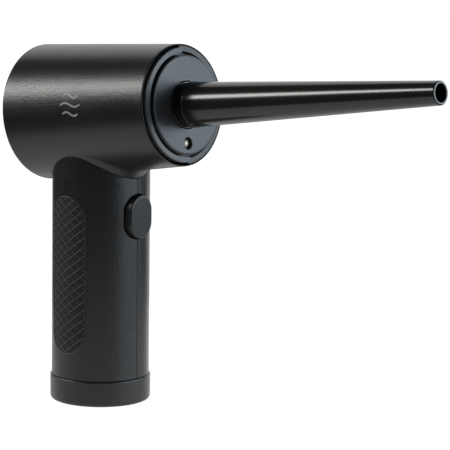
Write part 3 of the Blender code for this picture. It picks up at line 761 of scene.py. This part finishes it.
# %% Handle sizes
HANDLE_INNER = 0.0193
cap_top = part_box("base_cap")[1].z
PAD_TURN = math.radians(92.5)
PAD_HALF_TURN = math.radians(27.0)
PAD_DEPTH = 0.0012
pad_low, pad_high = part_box("grip_pad_right")
PAD_BOTTOM, PAD_TOP = pad_low.z, pad_high.z
button_low, button_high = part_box("trigger_button")
BUTTON_MIDDLE = (button_low.z + button_high.z) / 2
BUTTON_FACE = button_high.x
BUTTON_WIDTH, BUTTON_HEIGHT = 0.0137, 0.0188
BUTTON_PLAY = 0.0014
light_low, light_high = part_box("status_light")
LIGHT_HEIGHT = (light_low.z + light_high.z) / 2
print("pad from", round(PAD_BOTTOM, 4), "to", round(PAD_TOP, 4), "button at", round(BUTTON_MIDDLE, 4))

# %% [markdown]
# The button, its opening and the pads all have round ends. One helper draws that outline, a second makes a
# straight body from it, and a third bends such a plate round the handle.

# %% Round-ended shapes
def stadium(width, height, steps=16):
    """A tall round-ended outline of (across, up) about its own middle."""
    radius = width / 2
    straight = height / 2 - radius
    points = []
    for end, start in ((1, 0.0), (-1, math.pi)):
        for i in range(steps + 1):
            t = start + math.pi * i / steps
            points.append((radius * math.cos(t), end * straight + radius * math.sin(t)))
    return points


def stadium_body(name, layers, middle, steps=16):
    """A round-ended body along X through layers of (x, width, height)."""
    loops = [[(x, y, middle + z) for y, z in stadium(w, h, steps)] for x, w, h in layers]
    return from_loops(name, loops)


def wrapped_stadium(name, margin, inner, outer, side, columns=28):
    """A round-ended plate between two radii, bent round the handle."""
    radius = PAD_HALF_TURN * HANDLE_RADIUS + margin
    centre = (PAD_BOTTOM + PAD_TOP) / 2
    straight = (PAD_TOP - PAD_BOTTOM) / 2 + margin - radius
    loops = []
    for i in range(columns + 1):
        share = -math.cos(math.pi * i / columns) * 0.9997
        turn = side * (PAD_TURN + share * radius / HANDLE_RADIUS)
        reach = straight + radius * math.sqrt(1 - share**2)
        rows = [(inner, -reach), (outer, -reach), (outer, reach), (inner, reach)]
        loops.append([(r * math.cos(turn), r * math.sin(turn), centre + z) for r, z in rows])
    return from_loops(name, loops)


print("outline points", len(stadium(BUTTON_WIDTH, BUTTON_HEIGHT)))

# %% [markdown]
# The handle is two half shells that meet on a fine seam down the front and the back. Each half is bent round
# from columns, so its top edge can follow the neck exactly. A tiny chamfer along the seam draws the dark
# line. The pad's recess and the button's opening are cut afterwards.

# %% Handle halves
def handle_half(name, side):
    """One half shell, its top edge following the neck and its seam edges chamfered."""
    gap = 0.00006 / HANDLE_RADIUS
    chamfer = 0.00014
    turns = [gap, gap + chamfer / HANDLE_RADIUS]
    turns += [gap * 4 + (math.pi - 8 * gap) * i / 96 for i in range(1, 96)]
    turns += [math.pi - gap - chamfer / HANDLE_RADIUS, math.pi - gap]
    loops = []
    for i, turn in enumerate(turns):
        ends = i in (0, len(turns) - 1)
        outer = HANDLE_RADIUS - (chamfer if ends else 0.0)
        top = neck_edge(turn) - 0.0001
        inside = drum_underside(HANDLE_INNER * math.cos(turn), HANDLE_INNER * math.sin(turn)) - 0.0003
        rows = [
            (HANDLE_INNER, cap_top + 0.0002),
            (outer, cap_top + 0.0002),
            (outer, top - 0.0001),
            (outer - 0.00008, top),
            (HANDLE_INNER, min(top, inside)),
        ]
        loops.append([(r * math.cos(side * turn), r * math.sin(side * turn), z) for r, z in rows])
    half = from_loops(name, loops)
    recess = wrapped_stadium("recess", 0.0002, HANDLE_RADIUS - PAD_DEPTH, HANDLE_RADIUS + 0.002, side)
    carve(half, recess)
    wide, tall = BUTTON_WIDTH + BUTTON_PLAY, BUTTON_HEIGHT + BUTTON_PLAY
    opening = [(0.012, wide, tall), (0.026, wide, tall)]
    carve(half, stadium_body("button_hole", opening, BUTTON_MIDDLE, 24))
    return half


right_half = handle_half("handle_half_right", -1)
pinhole = rod("pinhole", 0.0185, 0.0228, 0.0007, "X", 24)
pinhole.data.transform(Matrix.Translation((0, 0, LIGHT_HEIGHT)) @ Matrix.Rotation(-PAD_TURN, 4, "Z"))
carve(right_half, pinhole)
left_half = handle_half("handle_half_left", 1)
fit(right_half, "housing", shell_black, "shell_black", "handle_right")
fit(left_half, "housing", shell_black, "shell_black", "handle_left")

# %% [markdown]
# ## Grip pads
# Each pad is a thin rubber moulding let into the handle: a plain sheet, a raised border and a lattice of
# fine ridges. The lattice follows a rule, so geometry nodes make it. Two short helpers keep the tree
# readable: one adds a node, the other does a sum.

# %% Node helpers
def add(tree, kind, **values):
    """Add a node and set its plain properties."""
    node = tree.nodes.new(kind)
    for key, value in values.items():
        setattr(node, key, value)
    return node


def sums(tree, operation, a, b=None, c=None):
    """A maths node fed by sockets or numbers; returns its result."""
    node = add(tree, "ShaderNodeMath", operation=operation)
    for i, value in enumerate((a, b, c)):
        if value is None:
            continue
        if isinstance(value, (int, float)):
            node.inputs[i].default_value = value
        else:
            tree.links.new(value, node.inputs[i])
    return node.outputs[0]


print("node helpers:", add.__name__, sums.__name__)

# %% [markdown]
# The ridges start flat. One slanted line is copied up a stack of points, once leaning each way, and the two
# families together make the diamonds.

# %% Slanted lines
def slanted_lines(tree, given, half):
    """Two stacks of slanted lines that cross, one for each way of leaning."""
    links = tree.links
    slope = sums(tree, "DIVIDE", given["Cell height"], given["Cell width"])
    rise = sums(tree, "MULTIPLY", half, slope)
    families = []
    for lean in (1.0, -1.0):
        start, end = add(tree, "ShaderNodeCombineXYZ"), add(tree, "ShaderNodeCombineXYZ")
        links.new(sums(tree, "MULTIPLY", half, -1.0), start.inputs["X"])
        links.new(sums(tree, "MULTIPLY", rise, -lean), start.inputs["Z"])
        links.new(half, end.inputs["X"])
        links.new(sums(tree, "MULTIPLY", rise, lean), end.inputs["Z"])
        line = add(tree, "GeometryNodeCurvePrimitiveLine")
        links.new(start.outputs[0], line.inputs["Start"])
        links.new(end.outputs[0], line.inputs["End"])
        first, step = add(tree, "ShaderNodeCombineXYZ"), add(tree, "ShaderNodeCombineXYZ")
        count = sums(tree, "SUBTRACT", given["Lines"], 1.0)
        reach = sums(tree, "MULTIPLY", count, given["Cell height"])
        links.new(sums(tree, "MULTIPLY", reach, -0.5), first.inputs["Z"])
        links.new(given["Cell height"], step.inputs["Z"])
        stack = add(tree, "GeometryNodeMeshLine")
        links.new(given["Lines"], stack.inputs["Count"])
        links.new(first.outputs[0], stack.inputs["Start Location"])
        links.new(step.outputs[0], stack.inputs["Offset"])
        copies = add(tree, "GeometryNodeInstanceOnPoints")
        links.new(stack.outputs[0], copies.inputs["Points"])
        links.new(line.outputs[0], copies.inputs["Instance"])
        families.append(copies.outputs[0])
    crossed = add(tree, "GeometryNodeJoinGeometry")
    for family in families:
        links.new(family, crossed.inputs[0])
    real = add(tree, "GeometryNodeRealizeInstances")
    links.new(crossed.outputs[0], real.inputs[0])
    return real.outputs[0]


print("two families of lines:", slanted_lines.__name__)

# %% [markdown]
# Each line is then cut into short steps, and the steps that fall outside the pad's round-ended outline are
# dropped. What is left gets a round section.

# %% Trimmed ridges
def trimmed_ridges(tree, given, half, lines):
    """The lines inside the outline, with a round section."""
    links = tree.links
    fine = add(tree, "GeometryNodeResampleCurve")
    fine.inputs["Count"].default_value = 64
    links.new(lines, fine.inputs["Curve"])
    at = add(tree, "ShaderNodeSeparateXYZ")
    links.new(add(tree, "GeometryNodeInputPosition").outputs[0], at.inputs[0])
    straight = sums(tree, "SUBTRACT", sums(tree, "MULTIPLY", given["Height"], 0.5), half)
    above = sums(tree, "SUBTRACT", sums(tree, "ABSOLUTE", at.outputs["Z"]), straight)
    over = sums(tree, "MAXIMUM", above, 0.0)
    squares = sums(tree, "ADD", sums(tree, "POWER", at.outputs["X"], 2.0), sums(tree, "POWER", over, 2.0))
    away = sums(tree, "SQRT", squares)
    outside = sums(tree, "GREATER_THAN", away, sums(tree, "SUBTRACT", half, given["Border radius"]))
    trimmed = add(tree, "GeometryNodeDeleteGeometry", domain="POINT")
    links.new(fine.outputs[0], trimmed.inputs["Geometry"])
    links.new(outside, trimmed.inputs["Selection"])
    ridge = add(tree, "GeometryNodeCurvePrimitiveCircle")
    ridge.inputs["Resolution"].default_value = 8
    links.new(given["Ridge radius"], ridge.inputs["Radius"])
    ridges = add(tree, "GeometryNodeCurveToMesh")
    ridges.inputs["Fill Caps"].default_value = True
    links.new(trimmed.outputs[0], ridges.inputs["Curve"])
    links.new(ridge.outputs[0], ridges.inputs["Profile Curve"])
    return ridges.outputs[0]


print("lines to ridges:", trimmed_ridges.__name__)

# %% [markdown]
# A raised bead runs round the pad. It is the same outline as a curve, stood upright and given a round
# section of its own.

# %% Border bead
def border_bead(tree, given, half):
    """A round bead along the pad's outline."""
    links = tree.links
    outline = add(tree, "GeometryNodeCurvePrimitiveQuadrilateral")
    links.new(sums(tree, "SUBTRACT", given["Width"], given["Border radius"]), outline.inputs["Width"])
    links.new(sums(tree, "SUBTRACT", given["Height"], given["Border radius"]), outline.inputs["Height"])
    rounded = add(tree, "GeometryNodeFilletCurve")
    if "Mode" in rounded.inputs:
        rounded.inputs["Mode"].default_value = "Poly"
    else:
        rounded.mode = "POLY"
    rounded.inputs["Count"].default_value = 20
    links.new(outline.outputs[0], rounded.inputs["Curve"])
    links.new(sums(tree, "SUBTRACT", half, given["Border radius"]), rounded.inputs["Radius"])
    stood = add(tree, "GeometryNodeTransform")
    stood.inputs["Rotation"].default_value = (math.pi / 2, 0, 0)
    links.new(rounded.outputs[0], stood.inputs["Geometry"])
    even = add(tree, "GeometryNodeResampleCurve")
    even.inputs["Count"].default_value = 220
    links.new(stood.outputs[0], even.inputs["Curve"])
    bead = add(tree, "GeometryNodeCurvePrimitiveCircle")
    bead.inputs["Resolution"].default_value = 8
    links.new(given["Border radius"], bead.inputs["Radius"])
    border = add(tree, "GeometryNodeCurveToMesh")
    links.new(even.outputs[0], border.inputs["Curve"])
    links.new(bead.outputs[0], border.inputs["Profile Curve"])
    return border.outputs[0]


print("border:", border_bead.__name__)

# %% [markdown]
# Last, the flat lattice is wrapped round the handle: across becomes a turn, and thickness becomes a distance
# from the axis. Then copies are made real and the finish is set.

# %% Lattice tree
def make_lattice_tree():
    """Crossed ridges and a border, trimmed to a round-ended outline and wrapped round an upright cylinder."""
    tree = bpy.data.node_groups.new("grip_lattice", "GeometryNodeTree")
    for name, value in (
        ("Width", 0.02),
        ("Height", 0.07),
        ("Cell width", 0.0052),
        ("Cell height", 0.004),
        ("Ridge radius", 0.00024),
        ("Border radius", 0.0003),
        ("Barrel radius", 0.0217),
        ("Turn", 1.6),
        ("Middle", 0.058),
    ):
        group_socket(tree, name, "INPUT", "NodeSocketFloat", value)
    group_socket(tree, "Lines", "INPUT", "NodeSocketInt", 40)
    group_socket(tree, "Finish", "INPUT", "NodeSocketMaterial")
    group_socket(tree, "Geometry", "OUTPUT", "NodeSocketGeometry")
    links = tree.links
    given = add(tree, "NodeGroupInput").outputs
    half = sums(tree, "MULTIPLY", given["Width"], 0.5)
    ridges = trimmed_ridges(tree, given, half, slanted_lines(tree, given, half))
    border = border_bead(tree, given, half)
    whole = add(tree, "GeometryNodeJoinGeometry")
    links.new(ridges, whole.inputs[0])
    links.new(border, whole.inputs[0])
    flat = add(tree, "ShaderNodeSeparateXYZ")
    links.new(add(tree, "GeometryNodeInputPosition").outputs[0], flat.inputs[0])
    turn = sums(tree, "ADD", sums(tree, "DIVIDE", flat.outputs["X"], given["Barrel radius"]), given["Turn"])
    out = sums(tree, "ADD", flat.outputs["Y"], given["Barrel radius"])
    wrapped = add(tree, "ShaderNodeCombineXYZ")
    links.new(sums(tree, "MULTIPLY", out, sums(tree, "COSINE", turn)), wrapped.inputs["X"])
    links.new(sums(tree, "MULTIPLY", out, sums(tree, "SINE", turn)), wrapped.inputs["Y"])
    links.new(sums(tree, "ADD", flat.outputs["Z"], given["Middle"]), wrapped.inputs["Z"])
    moved = add(tree, "GeometryNodeSetPosition")
    links.new(whole.outputs[0], moved.inputs["Geometry"])
    links.new(wrapped.outputs[0], moved.inputs["Position"])
    solid = add(tree, "GeometryNodeRealizeInstances")
    links.new(moved.outputs[0], solid.inputs[0])
    painted = add(tree, "GeometryNodeSetMaterial")
    links.new(solid.outputs[0], painted.inputs["Geometry"])
    links.new(given["Finish"], painted.inputs["Material"])
    links.new(painted.outputs[0], add(tree, "NodeGroupOutput").inputs[0])
    return tree


grip_lattice = make_lattice_tree()
print("lattice nodes", len(grip_lattice.nodes))

# %% [markdown]
# A tree runs as a modifier on an empty object. Its inputs are set by their identifiers before the object is
# first evaluated, and the result is kept as a plain mesh.

# %% Run a tree
GROWN_CRISP_ANGLE = 40.0


def grown(name, tree, values):
    """Run a geometry node tree with named values and return its result as a plain mesh object."""
    made = bpy.data.objects.new(name, bpy.data.meshes.new(name))
    bpy.context.scene.collection.objects.link(made)
    work = made.modifiers.new("grow", "NODES")
    work.node_group = tree
    for socket in tree.interface.items_tree:
        if socket.in_out == "INPUT" and socket.name in values:
            work[socket.identifier] = values[socket.name]
    smooth(applied(made), GROWN_CRISP_ANGLE)
    body = bmesh.new()
    body.from_mesh(made.data)
    bmesh.ops.recalc_face_normals(body, faces=body.faces)
    body.to_mesh(made.data)
    body.free()
    return made


print("grown pieces stay crisp above", GROWN_CRISP_ANGLE, "degrees")

# %% [markdown]
# The sheet fills the recess with a hair of air round it. The diamonds are a little wider than tall, about
# five by four millimetres.

# %% Grip pads
PAD_OUTER = HANDLE_RADIUS + 0.0001
PAD_INNER = HANDLE_RADIUS - PAD_DEPTH + 0.0001
LATTICE = {
    "Width": 2 * PAD_HALF_TURN * HANDLE_RADIUS,
    "Height": PAD_TOP - PAD_BOTTOM,
    "Cell width": 0.0052,
    "Cell height": 0.0040,
    "Ridge radius": 0.00024,
    "Border radius": 0.00022,
    "Barrel radius": PAD_OUTER,
    "Middle": (PAD_BOTTOM + PAD_TOP) / 2,
    "Lines": 26,
    "Finish": ridge_rubber_painted_highlight,
}

for side, word in ((-1, "right"), (1, "left")):
    sheet = wrapped_stadium(f"grip_sheet_{word}", 0.0, PAD_INNER, PAD_OUTER, side, 40)
    fit(sheet, "housing", grip_rubber, "grip_rubber", f"grip_pad_{word}")
    ridges = grown(f"grip_ridges_{word}", grip_lattice, {**LATTICE, "Turn": side * PAD_TURN})
    # The ridges share the pads' rubber slot but wear the copy painted lighter, as painted highlight.
    fit(ridges, "housing", ridge_rubber_painted_highlight, "grip_rubber")

# %% [markdown]
# ## Base cap and foot
# The cap is a little wider than the handle, with a soft lower edge, so it reads as a separate ring. A
# round-ended slot at its back takes the charging plug.

# %% Base cap
CAP_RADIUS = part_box("base_cap")[1].x
CAP_INNER = CAP_RADIUS - 0.0024
CAP_FLOOR = 0.0032
FOOT_POCKET = 0.0154
FOOT_SHELF = 0.0128
SLOT_HEIGHT = 0.0066

cap_wall = [
    (0.0, FOOT_POCKET, 0),
    (0.0, CAP_RADIUS - 0.0001, 0.0019),
    (cap_top, CAP_RADIUS, 0.0007),
    (cap_top, CAP_INNER, 0.0002),
    (CAP_FLOOR, CAP_INNER, 0),
    (CAP_FLOOR, FOOT_SHELF, 0),
    (0.0016, FOOT_SHELF, 0),
    (0.0016, FOOT_POCKET, 0),
]
cap = turned("base_cap_ring", cap_wall, "Z", 144)
slot_layers = [(0.018, 0.0036, 0.0094), (0.0218, 0.0036, 0.0094), (0.024, 0.0052, 0.011)]
slot_tool = stadium_body("slot_tool", slot_layers, 0.0)
lay_down = Matrix.Rotation(math.pi, 4, "Z") @ Matrix.Rotation(math.pi / 2, 4, "X")
slot_tool.data.transform(Matrix.Translation((0, 0, SLOT_HEIGHT)) @ lay_down)
carve(cap, slot_tool)
fit(cap, "housing", shell_black, "shell_black", "base_cap")

# %% [markdown]
# Under the cap, a rubber foot keeps the tool from sliding. Three shallow rings are moulded into it, so it
# grips a wet bench too.

# %% Rubber foot
FOOT_RADIUS = 0.0152
RING_DEPTH = 0.0004
foot_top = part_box("foot_pad")[1].z

rings = []
for radius in (0.006, 0.0095, 0.013):
    rings.append((0.0, radius - 0.0008, 0.0001))
    rings.append((RING_DEPTH, radius - 0.0006, 0.0001))
    rings.append((RING_DEPTH, radius - 0.0002, 0.0001))
    rings.append((0.0, radius, 0.0001))
foot_outline = [
    (0.0, 0.0, 0),
    *rings,
    (0.0, FOOT_RADIUS, 0.0003),
    (foot_top, FOOT_RADIUS, 0.0002),
    (foot_top, 0.0, 0),
]
foot = turned("rubber_foot", foot_outline, "Z", 96, closed=False)
fit(foot, "housing", foot_rubber, "foot_rubber", "foot_pad")

# %% [markdown]
# ## Front disc and its rings
# A flat disc closes the drum's mouth and stands a little forward of the rim, with a well rounded edge. It
# has a hole for the nozzle's collar and a small one for the lamp.

# %% Front disc
DISC_RADIUS = 0.0214
DISC_BACK = 0.0464
DISC_SPIGOT = 0.0196
FLANGE_FRONT = 0.0444
COLLAR_RADIUS = 0.01
COLLAR_HOLE = COLLAR_RADIUS + 0.0003
LAMP_DROP = 0.0163
LAMP_SIDE = -0.0016
LAMP_RADIUS = 0.0026
LAMP_PLACE = DRUM_FRAME @ Matrix.Translation((0, LAMP_SIDE, -LAMP_DROP))

disc_back, disc_front, flange_radius = drum_span("front_plate")
plate = [
    (DISC_BACK, COLLAR_HOLE, 0),
    (disc_front, COLLAR_HOLE, 0.00015),
    (disc_front, DISC_RADIUS, 0.0009),
    (FLANGE_FRONT, DISC_RADIUS, 0),
    (FLANGE_FRONT, flange_radius, 0),
    (disc_back, flange_radius, 0),
    (disc_back, DISC_SPIGOT, 0),
    (DISC_BACK, DISC_SPIGOT, 0),
]
disc = turned("front_disc", plate, steps=192, place=DRUM_FRAME)
lamp_hole = [
    (0.04, 0, 0),
    (0.04, LAMP_RADIUS, 0),
    (disc_front - 0.0002, LAMP_RADIUS, 0.0001),
    (disc_front + 0.0002, LAMP_RADIUS + 0.0003, 0),
    (disc_front + 0.0002, 0, 0),
]
carve(disc, turned("lamp_bore", lamp_hole, steps=64, closed=False, place=LAMP_PLACE))
fit(disc, "housing", disc_grey, "front_grey", "front_plate")

# %% [markdown]
# Round the disc runs a channel. On the tool's right it holds a raised bead that ends squarely above and
# below the nozzle, and on the left a plain band that lies level with the rim. Both are a rounded profile
# swept through half a turn, so one helper makes them.

# %% Bead and band
TRIM_INNER = 0.0221
BAND_INNER = 0.0229
BAND_OUTER = 0.0254
TRIM_RADIUS = 0.0246
TRIM_OVERRUN = 0.0008


def half_ring(name, corners, side, overrun, steps=96):
    """About half a ring of a rounded profile, ending squarely above and below the nozzle."""
    profile = softened(corners)
    edge = -overrun / TRIM_RADIUS
    loops = []
    for i in range(steps + 1):
        turn = edge + (math.pi - 2 * edge) * i / steps
        loops.append([(s, side * r * math.sin(turn), r * math.cos(turn)) for s, r in profile])
    return from_loops(name, loops, place=DRUM_FRAME)


ring_back, bead_front, bead_radius = drum_span("trim_bead")
bead_profile = [
    (ring_back, TRIM_INNER, 0),
    (ring_back, bead_radius, 0),
    (bead_front, bead_radius, 0.0004),
    (bead_front, TRIM_INNER, 0.0003),
]
bead = half_ring("front_bead", bead_profile, -1, TRIM_OVERRUN)
# The bead shares the trim slot with the band but wears the copy painted lighter, as painted light.
fit(bead, "housing", bead_grey_painted_light, "trim_black", "trim_bead")
band_front = drum_front - 0.00005
band_profile = [
    (ring_back, BAND_INNER, 0),
    (ring_back, BAND_OUTER, 0),
    (band_front, BAND_OUTER, 0.0002),
    (band_front, BAND_INNER, 0.0002),
]
band = half_ring("front_band", band_profile, 1, -TRIM_OVERRUN - 0.0001)
fit(band, "housing", trim_black, "trim_black", "trim_band")

# %% [markdown]
# ## Work lamp
# A small domed lamp stands at the bottom of its hole, with the yellow chip behind it. A dark ring holds it,
# so only the dome itself shines.

# %% Work lamp
LENS_FOOT = 0.0024
LENS_FOOT_FRONT = 0.0474
lens_back, lens_front, _ = drum_span("lamp_lens")
dome = [
    (lens_back, 0.0, 0),
    (lens_back, LENS_FOOT, 0),
    (LENS_FOOT_FRONT, LENS_FOOT, 0.0001),
    (LENS_FOOT_FRONT, 0.0015, 0),
    (0.0478, 0.00145, 0.0002),
    (lens_front - 0.0001, 0.0013, 0.0009),
    (lens_front, 0.0, 0),
]
lens = turned("lamp_dome", dome, steps=64, closed=False, place=LAMP_PLACE)
fit(lens, "housing", lamp_clear, "lamp_clear", "lamp_lens")
holder = [(0.0475, 0.0016, 0), (0.0475, 0.00255, 0), (0.0479, 0.00255, 0), (0.0477, 0.0016, 0.0001)]
bezel = turned("lamp_bezel", holder, steps=64, place=LAMP_PLACE)
fit(bezel, "housing", inner_plastic, "inner_plastic")

# %% [markdown]
# ## Nozzle
# The nozzle plugs into a dark collar. The collar has a flange behind the disc, which holds it in.

# %% Nozzle collar
SOCKET_BORE = 0.0086
COLLAR_FLANGE = 0.0118
socket_back, collar_front, _ = drum_span("nozzle_socket")
collar_wall = [
    (socket_back, SOCKET_BORE, 0),
    (socket_back, COLLAR_RADIUS, 0),
    (FLANGE_FRONT, COLLAR_RADIUS, 0),
    (FLANGE_FRONT, COLLAR_FLANGE, 0),
    (0.0461, COLLAR_FLANGE, 0),
    (0.0461, COLLAR_RADIUS, 0),
    (collar_front, COLLAR_RADIUS, 0.0004),
    (collar_front, SOCKET_BORE, 0.0002),
]
collar = turned("nozzle_collar", collar_wall, steps=128, place=DRUM_FRAME)
fit(collar, "housing", nozzle_black, "nozzle_black", "nozzle_socket")

# %% [markdown]
# Just ahead of the collar a thin ridge gives the fingers a hold, and then the long cone narrows evenly to a
# rounded tip. The nozzle is hollow right through, with a thin wall that shows at the mouth. A groove in its
# plug takes the soft ring.

# %% Nozzle
PLUG_RADIUS = 0.0083
SEAL_GROOVE = 0.0076
GROOVE_START, GROOVE_END = 0.0414, 0.0432
WAIST_RADIUS = 0.0095
RIDGE_RADIUS = 0.0099
RIDGE_START, RIDGE_END = 0.0535, 0.0549
CONE_RADIUS = 0.00965
TIP_RADIUS = 0.00497
TIP_BORE = 0.0038

tail, tip, _ = drum_span("nozzle")
waist_start = collar_front + 0.0003
tube = [
    (tail, 0.0066, 0),
    (tail, PLUG_RADIUS, 0.0004),
    (GROOVE_START, PLUG_RADIUS, 0),
    (GROOVE_START, SEAL_GROOVE, 0),
    (GROOVE_END, SEAL_GROOVE, 0),
    (GROOVE_END, PLUG_RADIUS, 0),
    (waist_start, PLUG_RADIUS, 0),
    (waist_start, WAIST_RADIUS, 0.0003),
    (RIDGE_START, WAIST_RADIUS, 0.0001),
    (0.0536, RIDGE_RADIUS, 0.0002),
    (0.0548, RIDGE_RADIUS, 0.0002),
    (RIDGE_END, CONE_RADIUS, 0.0001),
    (tip, TIP_RADIUS, 0.0006),
    (tip, TIP_BORE, 0.0002),
    (0.0585, 0.0072, 0),
]
nozzle = turned("nozzle_tube", tube, steps=128, place=DRUM_FRAME)
fit(nozzle, "nozzle", nozzle_black, "nozzle_black", "nozzle")

# %% [markdown]
# ## Button
# A tall button with straight sides and a flat face. The edge of the face is only slightly rounded, so it
# catches one thin line of light. A hidden flange keeps it in the handle, and a stem presses the switch.

# %% Button
FLANGE_LIP = 0.0028
EDGE_LAYERS = (
    (0.001, 0.0),
    (0.0007, 0.0001),
    (0.0004, 0.0003),
    (0.0002, 0.0006),
    (0.00007, 0.001),
    (0.0, 0.0016),
)
STEM_RADIUS = 0.0017
STEM_END = 0.017

layers = [
    (button_low.x + 0.0015, BUTTON_WIDTH + FLANGE_LIP, BUTTON_HEIGHT + FLANGE_LIP),
    (button_low.x + 0.0029, BUTTON_WIDTH + FLANGE_LIP, BUTTON_HEIGHT + FLANGE_LIP),
    (button_low.x + 0.00291, BUTTON_WIDTH, BUTTON_HEIGHT),
]
for depth, inset in EDGE_LAYERS:
    layers.append((BUTTON_FACE - depth, BUTTON_WIDTH - inset, BUTTON_HEIGHT - inset))
button = stadium_body("button_cap", layers, BUTTON_MIDDLE, 24)
stem = rod("stem", button_low.x, STEM_END, STEM_RADIUS, "X", 32)
stem.data.transform(Matrix.Translation((0, 0, BUTTON_MIDDLE)))
carve(button, stem, "UNION")
fit(button, "button", button_black, "button_black", "trigger_button")

# %% [markdown]
# ## Intake cover
# Air is drawn in through the drum's back. Two rings of radial slots repeat round the axis, so geometry
# nodes make the cutting tool: one slot, copied round the circle and turned step by step.

# %% Slot tree
def make_slot_tree():
    """Copies of one slot body, turned evenly round the X axis."""
    tree = bpy.data.node_groups.new("round_of_slots", "GeometryNodeTree")
    group_socket(tree, "Slot", "INPUT", "NodeSocketObject")
    group_socket(tree, "Count", "INPUT", "NodeSocketInt", 24)
    group_socket(tree, "Finish", "INPUT", "NodeSocketMaterial")
    group_socket(tree, "Geometry", "OUTPUT", "NodeSocketGeometry")
    links = tree.links
    given = add(tree, "NodeGroupInput").outputs
    points = add(tree, "GeometryNodeMeshLine")
    points.inputs["Offset"].default_value = (0, 0, 0)
    links.new(given["Count"], points.inputs["Count"])
    one = add(tree, "GeometryNodeObjectInfo")
    links.new(given["Slot"], one.inputs["Object"])
    turn = add(tree, "ShaderNodeCombineXYZ")
    step = sums(tree, "DIVIDE", 2 * math.pi, given["Count"])
    number = add(tree, "GeometryNodeInputIndex").outputs[0]
    links.new(sums(tree, "MULTIPLY", number, step), turn.inputs["X"])
    copies = add(tree, "GeometryNodeInstanceOnPoints")
    links.new(points.outputs[0], copies.inputs["Points"])
    links.new(one.outputs["Geometry"], copies.inputs["Instance"])
    links.new(turn.outputs[0], copies.inputs["Rotation"])
    solid = add(tree, "GeometryNodeRealizeInstances")
    links.new(copies.outputs[0], solid.inputs[0])
    painted = add(tree, "GeometryNodeSetMaterial")
    links.new(solid.outputs[0], painted.inputs["Geometry"])
    links.new(given["Finish"], painted.inputs["Material"])
    links.new(painted.outputs[0], add(tree, "NodeGroupOutput").inputs[0])
    return tree


round_of_slots = make_slot_tree()
print("slot tree nodes", len(round_of_slots.nodes))

# %% [markdown]
# The cover is a shallow turned cap that pulls off to clean the felt behind it. Its outer ring has thirty
# slots and its inner ring twenty, so the bars between them stay about equally wide.

# %% Intake cover
COVER_BACK = -0.0314
COVER_INSIDE = -0.0298
COVER_REACH = 0.0275
COVER_BORE = COVER_REACH - 0.0016
SLOT_WIDTH = 0.0017
SLOT_RINGS = ((30, 0.0176, 0.0244), (20, 0.0092, 0.0159))

cover_front = drum_span("intake_cover")[1]
cover_wall = [
    (COVER_BACK, 0.0, 0),
    (COVER_BACK, COVER_REACH, 0.0006),
    (cover_front, COVER_REACH - 0.0003, 0.0002),
    (cover_front, COVER_BORE, 0),
    (COVER_INSIDE, COVER_BORE, 0),
    (COVER_INSIDE, 0.0, 0),
]
cover = turned("intake_grille", cover_wall, closed=False, steps=144, place=DRUM_FRAME)
for count, inner, outer in SLOT_RINGS:
    slot_ends = [(-0.034, SLOT_WIDTH, outer - inner), (-0.028, SLOT_WIDTH, outer - inner)]
    slot = stadium_body("one_slot", slot_ends, (inner + outer) / 2, 8)
    tool = grown("slot_tools", round_of_slots, {"Slot": slot, "Count": count, "Finish": shell_black})
    tool.data.transform(DRUM_FRAME)
    carve(cover, tool)
    bpy.data.objects.remove(slot)
fit(cover, "cover", shell_black, "shell_black", "intake_cover")

# %% [markdown]
# ## Printed mark
# Tools like this carry a small pad-printed mark on the drum's side. This one is a plain symbol for moving
# air: three short waves, printed as a thin film that follows the drum's surface.

# %% Printed mark
MARK_STATION = 0.0074
MARK_RISE = math.radians(7.8)
WAVE_STEPS = 28
WAVE_SWING = 0.0009
FILM_WIDTH = 0.0008
FILM_LIFTS = (0.00001, 0.00004)


def wave_film(name, offset, length):
    """One wave of the mark as a thin strip on the drum's right side."""
    body = bmesh.new()
    rows = []
    for i in range(WAVE_STEPS + 1):
        share = i / WAVE_STEPS
        along = (share - 0.5) * length
        swing = WAVE_SWING * math.sin(2 * math.pi * share)
        slope = WAVE_SWING * 2 * math.pi / length * math.cos(2 * math.pi * share)
        size = math.hypot(1, slope)
        from_end = max(0.0, min(share, 1 - share))
        taper = FILM_WIDTH / 2 * min(1.0, math.sqrt(from_end * 18 + 0.05))
        row = []
        for edge in (-1, 1):
            u = along - edge * taper * slope / size
            v = offset + swing + edge * taper / size
            station = MARK_STATION + u
            for lift in FILM_LIFTS:
                radius = drum_radius(station) + lift
                turn = MARK_RISE + v / radius
                row.append(body.verts.new((station, -radius * math.cos(turn), radius * math.sin(turn))))
        rows.append((row[0], row[2], row[3], row[1]))
    for here, there in zip(rows, rows[1:]):
        for j in range(4):
            body.faces.new((here[j], here[(j + 1) % 4], there[(j + 1) % 4], there[j]))
    body.faces.new(rows[0])
    body.faces.new(tuple(reversed(rows[-1])))
    return settled(name, body, DRUM_FRAME)


for number, (offset, length) in enumerate(((0.0039, 0.0086), (0.0, 0.0112), (-0.0039, 0.0086))):
    fit(wave_film(f"mark_wave_{number + 1}", offset, length), "housing", mark_print, "shell_black")

# %% [markdown]
# ## Inner pieces
# The rest of the frame's own solids keep their shapes: the fan, the motor, the cells and the boards. They
# are seen only through the slots, the nozzle's bore and the gaps, but each still gets the finish of its
# real material.

# %% Finishes for the frame's own solids
OWN_FINISHES = {
    "inner_plastic": inner_plastic,
    "circuit_board": circuit_green,
    "plated_steel": plated_steel,
    "clear_light": clear_light,
    "cell_jacket": cell_sleeve,
    "filter_felt": filter_felt,
    "fan_aluminium": fan_aluminium,
    "motor_steel": winding_copper,
    "foot_rubber": foot_rubber,
    "lamp_yellow": lamp_yellow,
    "shell_black": shell_black,
    "front_grey": disc_grey,
    "trim_black": trim_black,
    "nozzle_black": nozzle_black,
    "button_black": button_black,
    "grip_rubber": grip_rubber,
    "lamp_clear": lamp_clear,
}
for part in frame["record"]["subparts"]:
    solid = frame["nodes"][part["node"]]
    solid.data.materials.clear()
    solid.data.materials.append(OWN_FINISHES[part["material_slot"]])
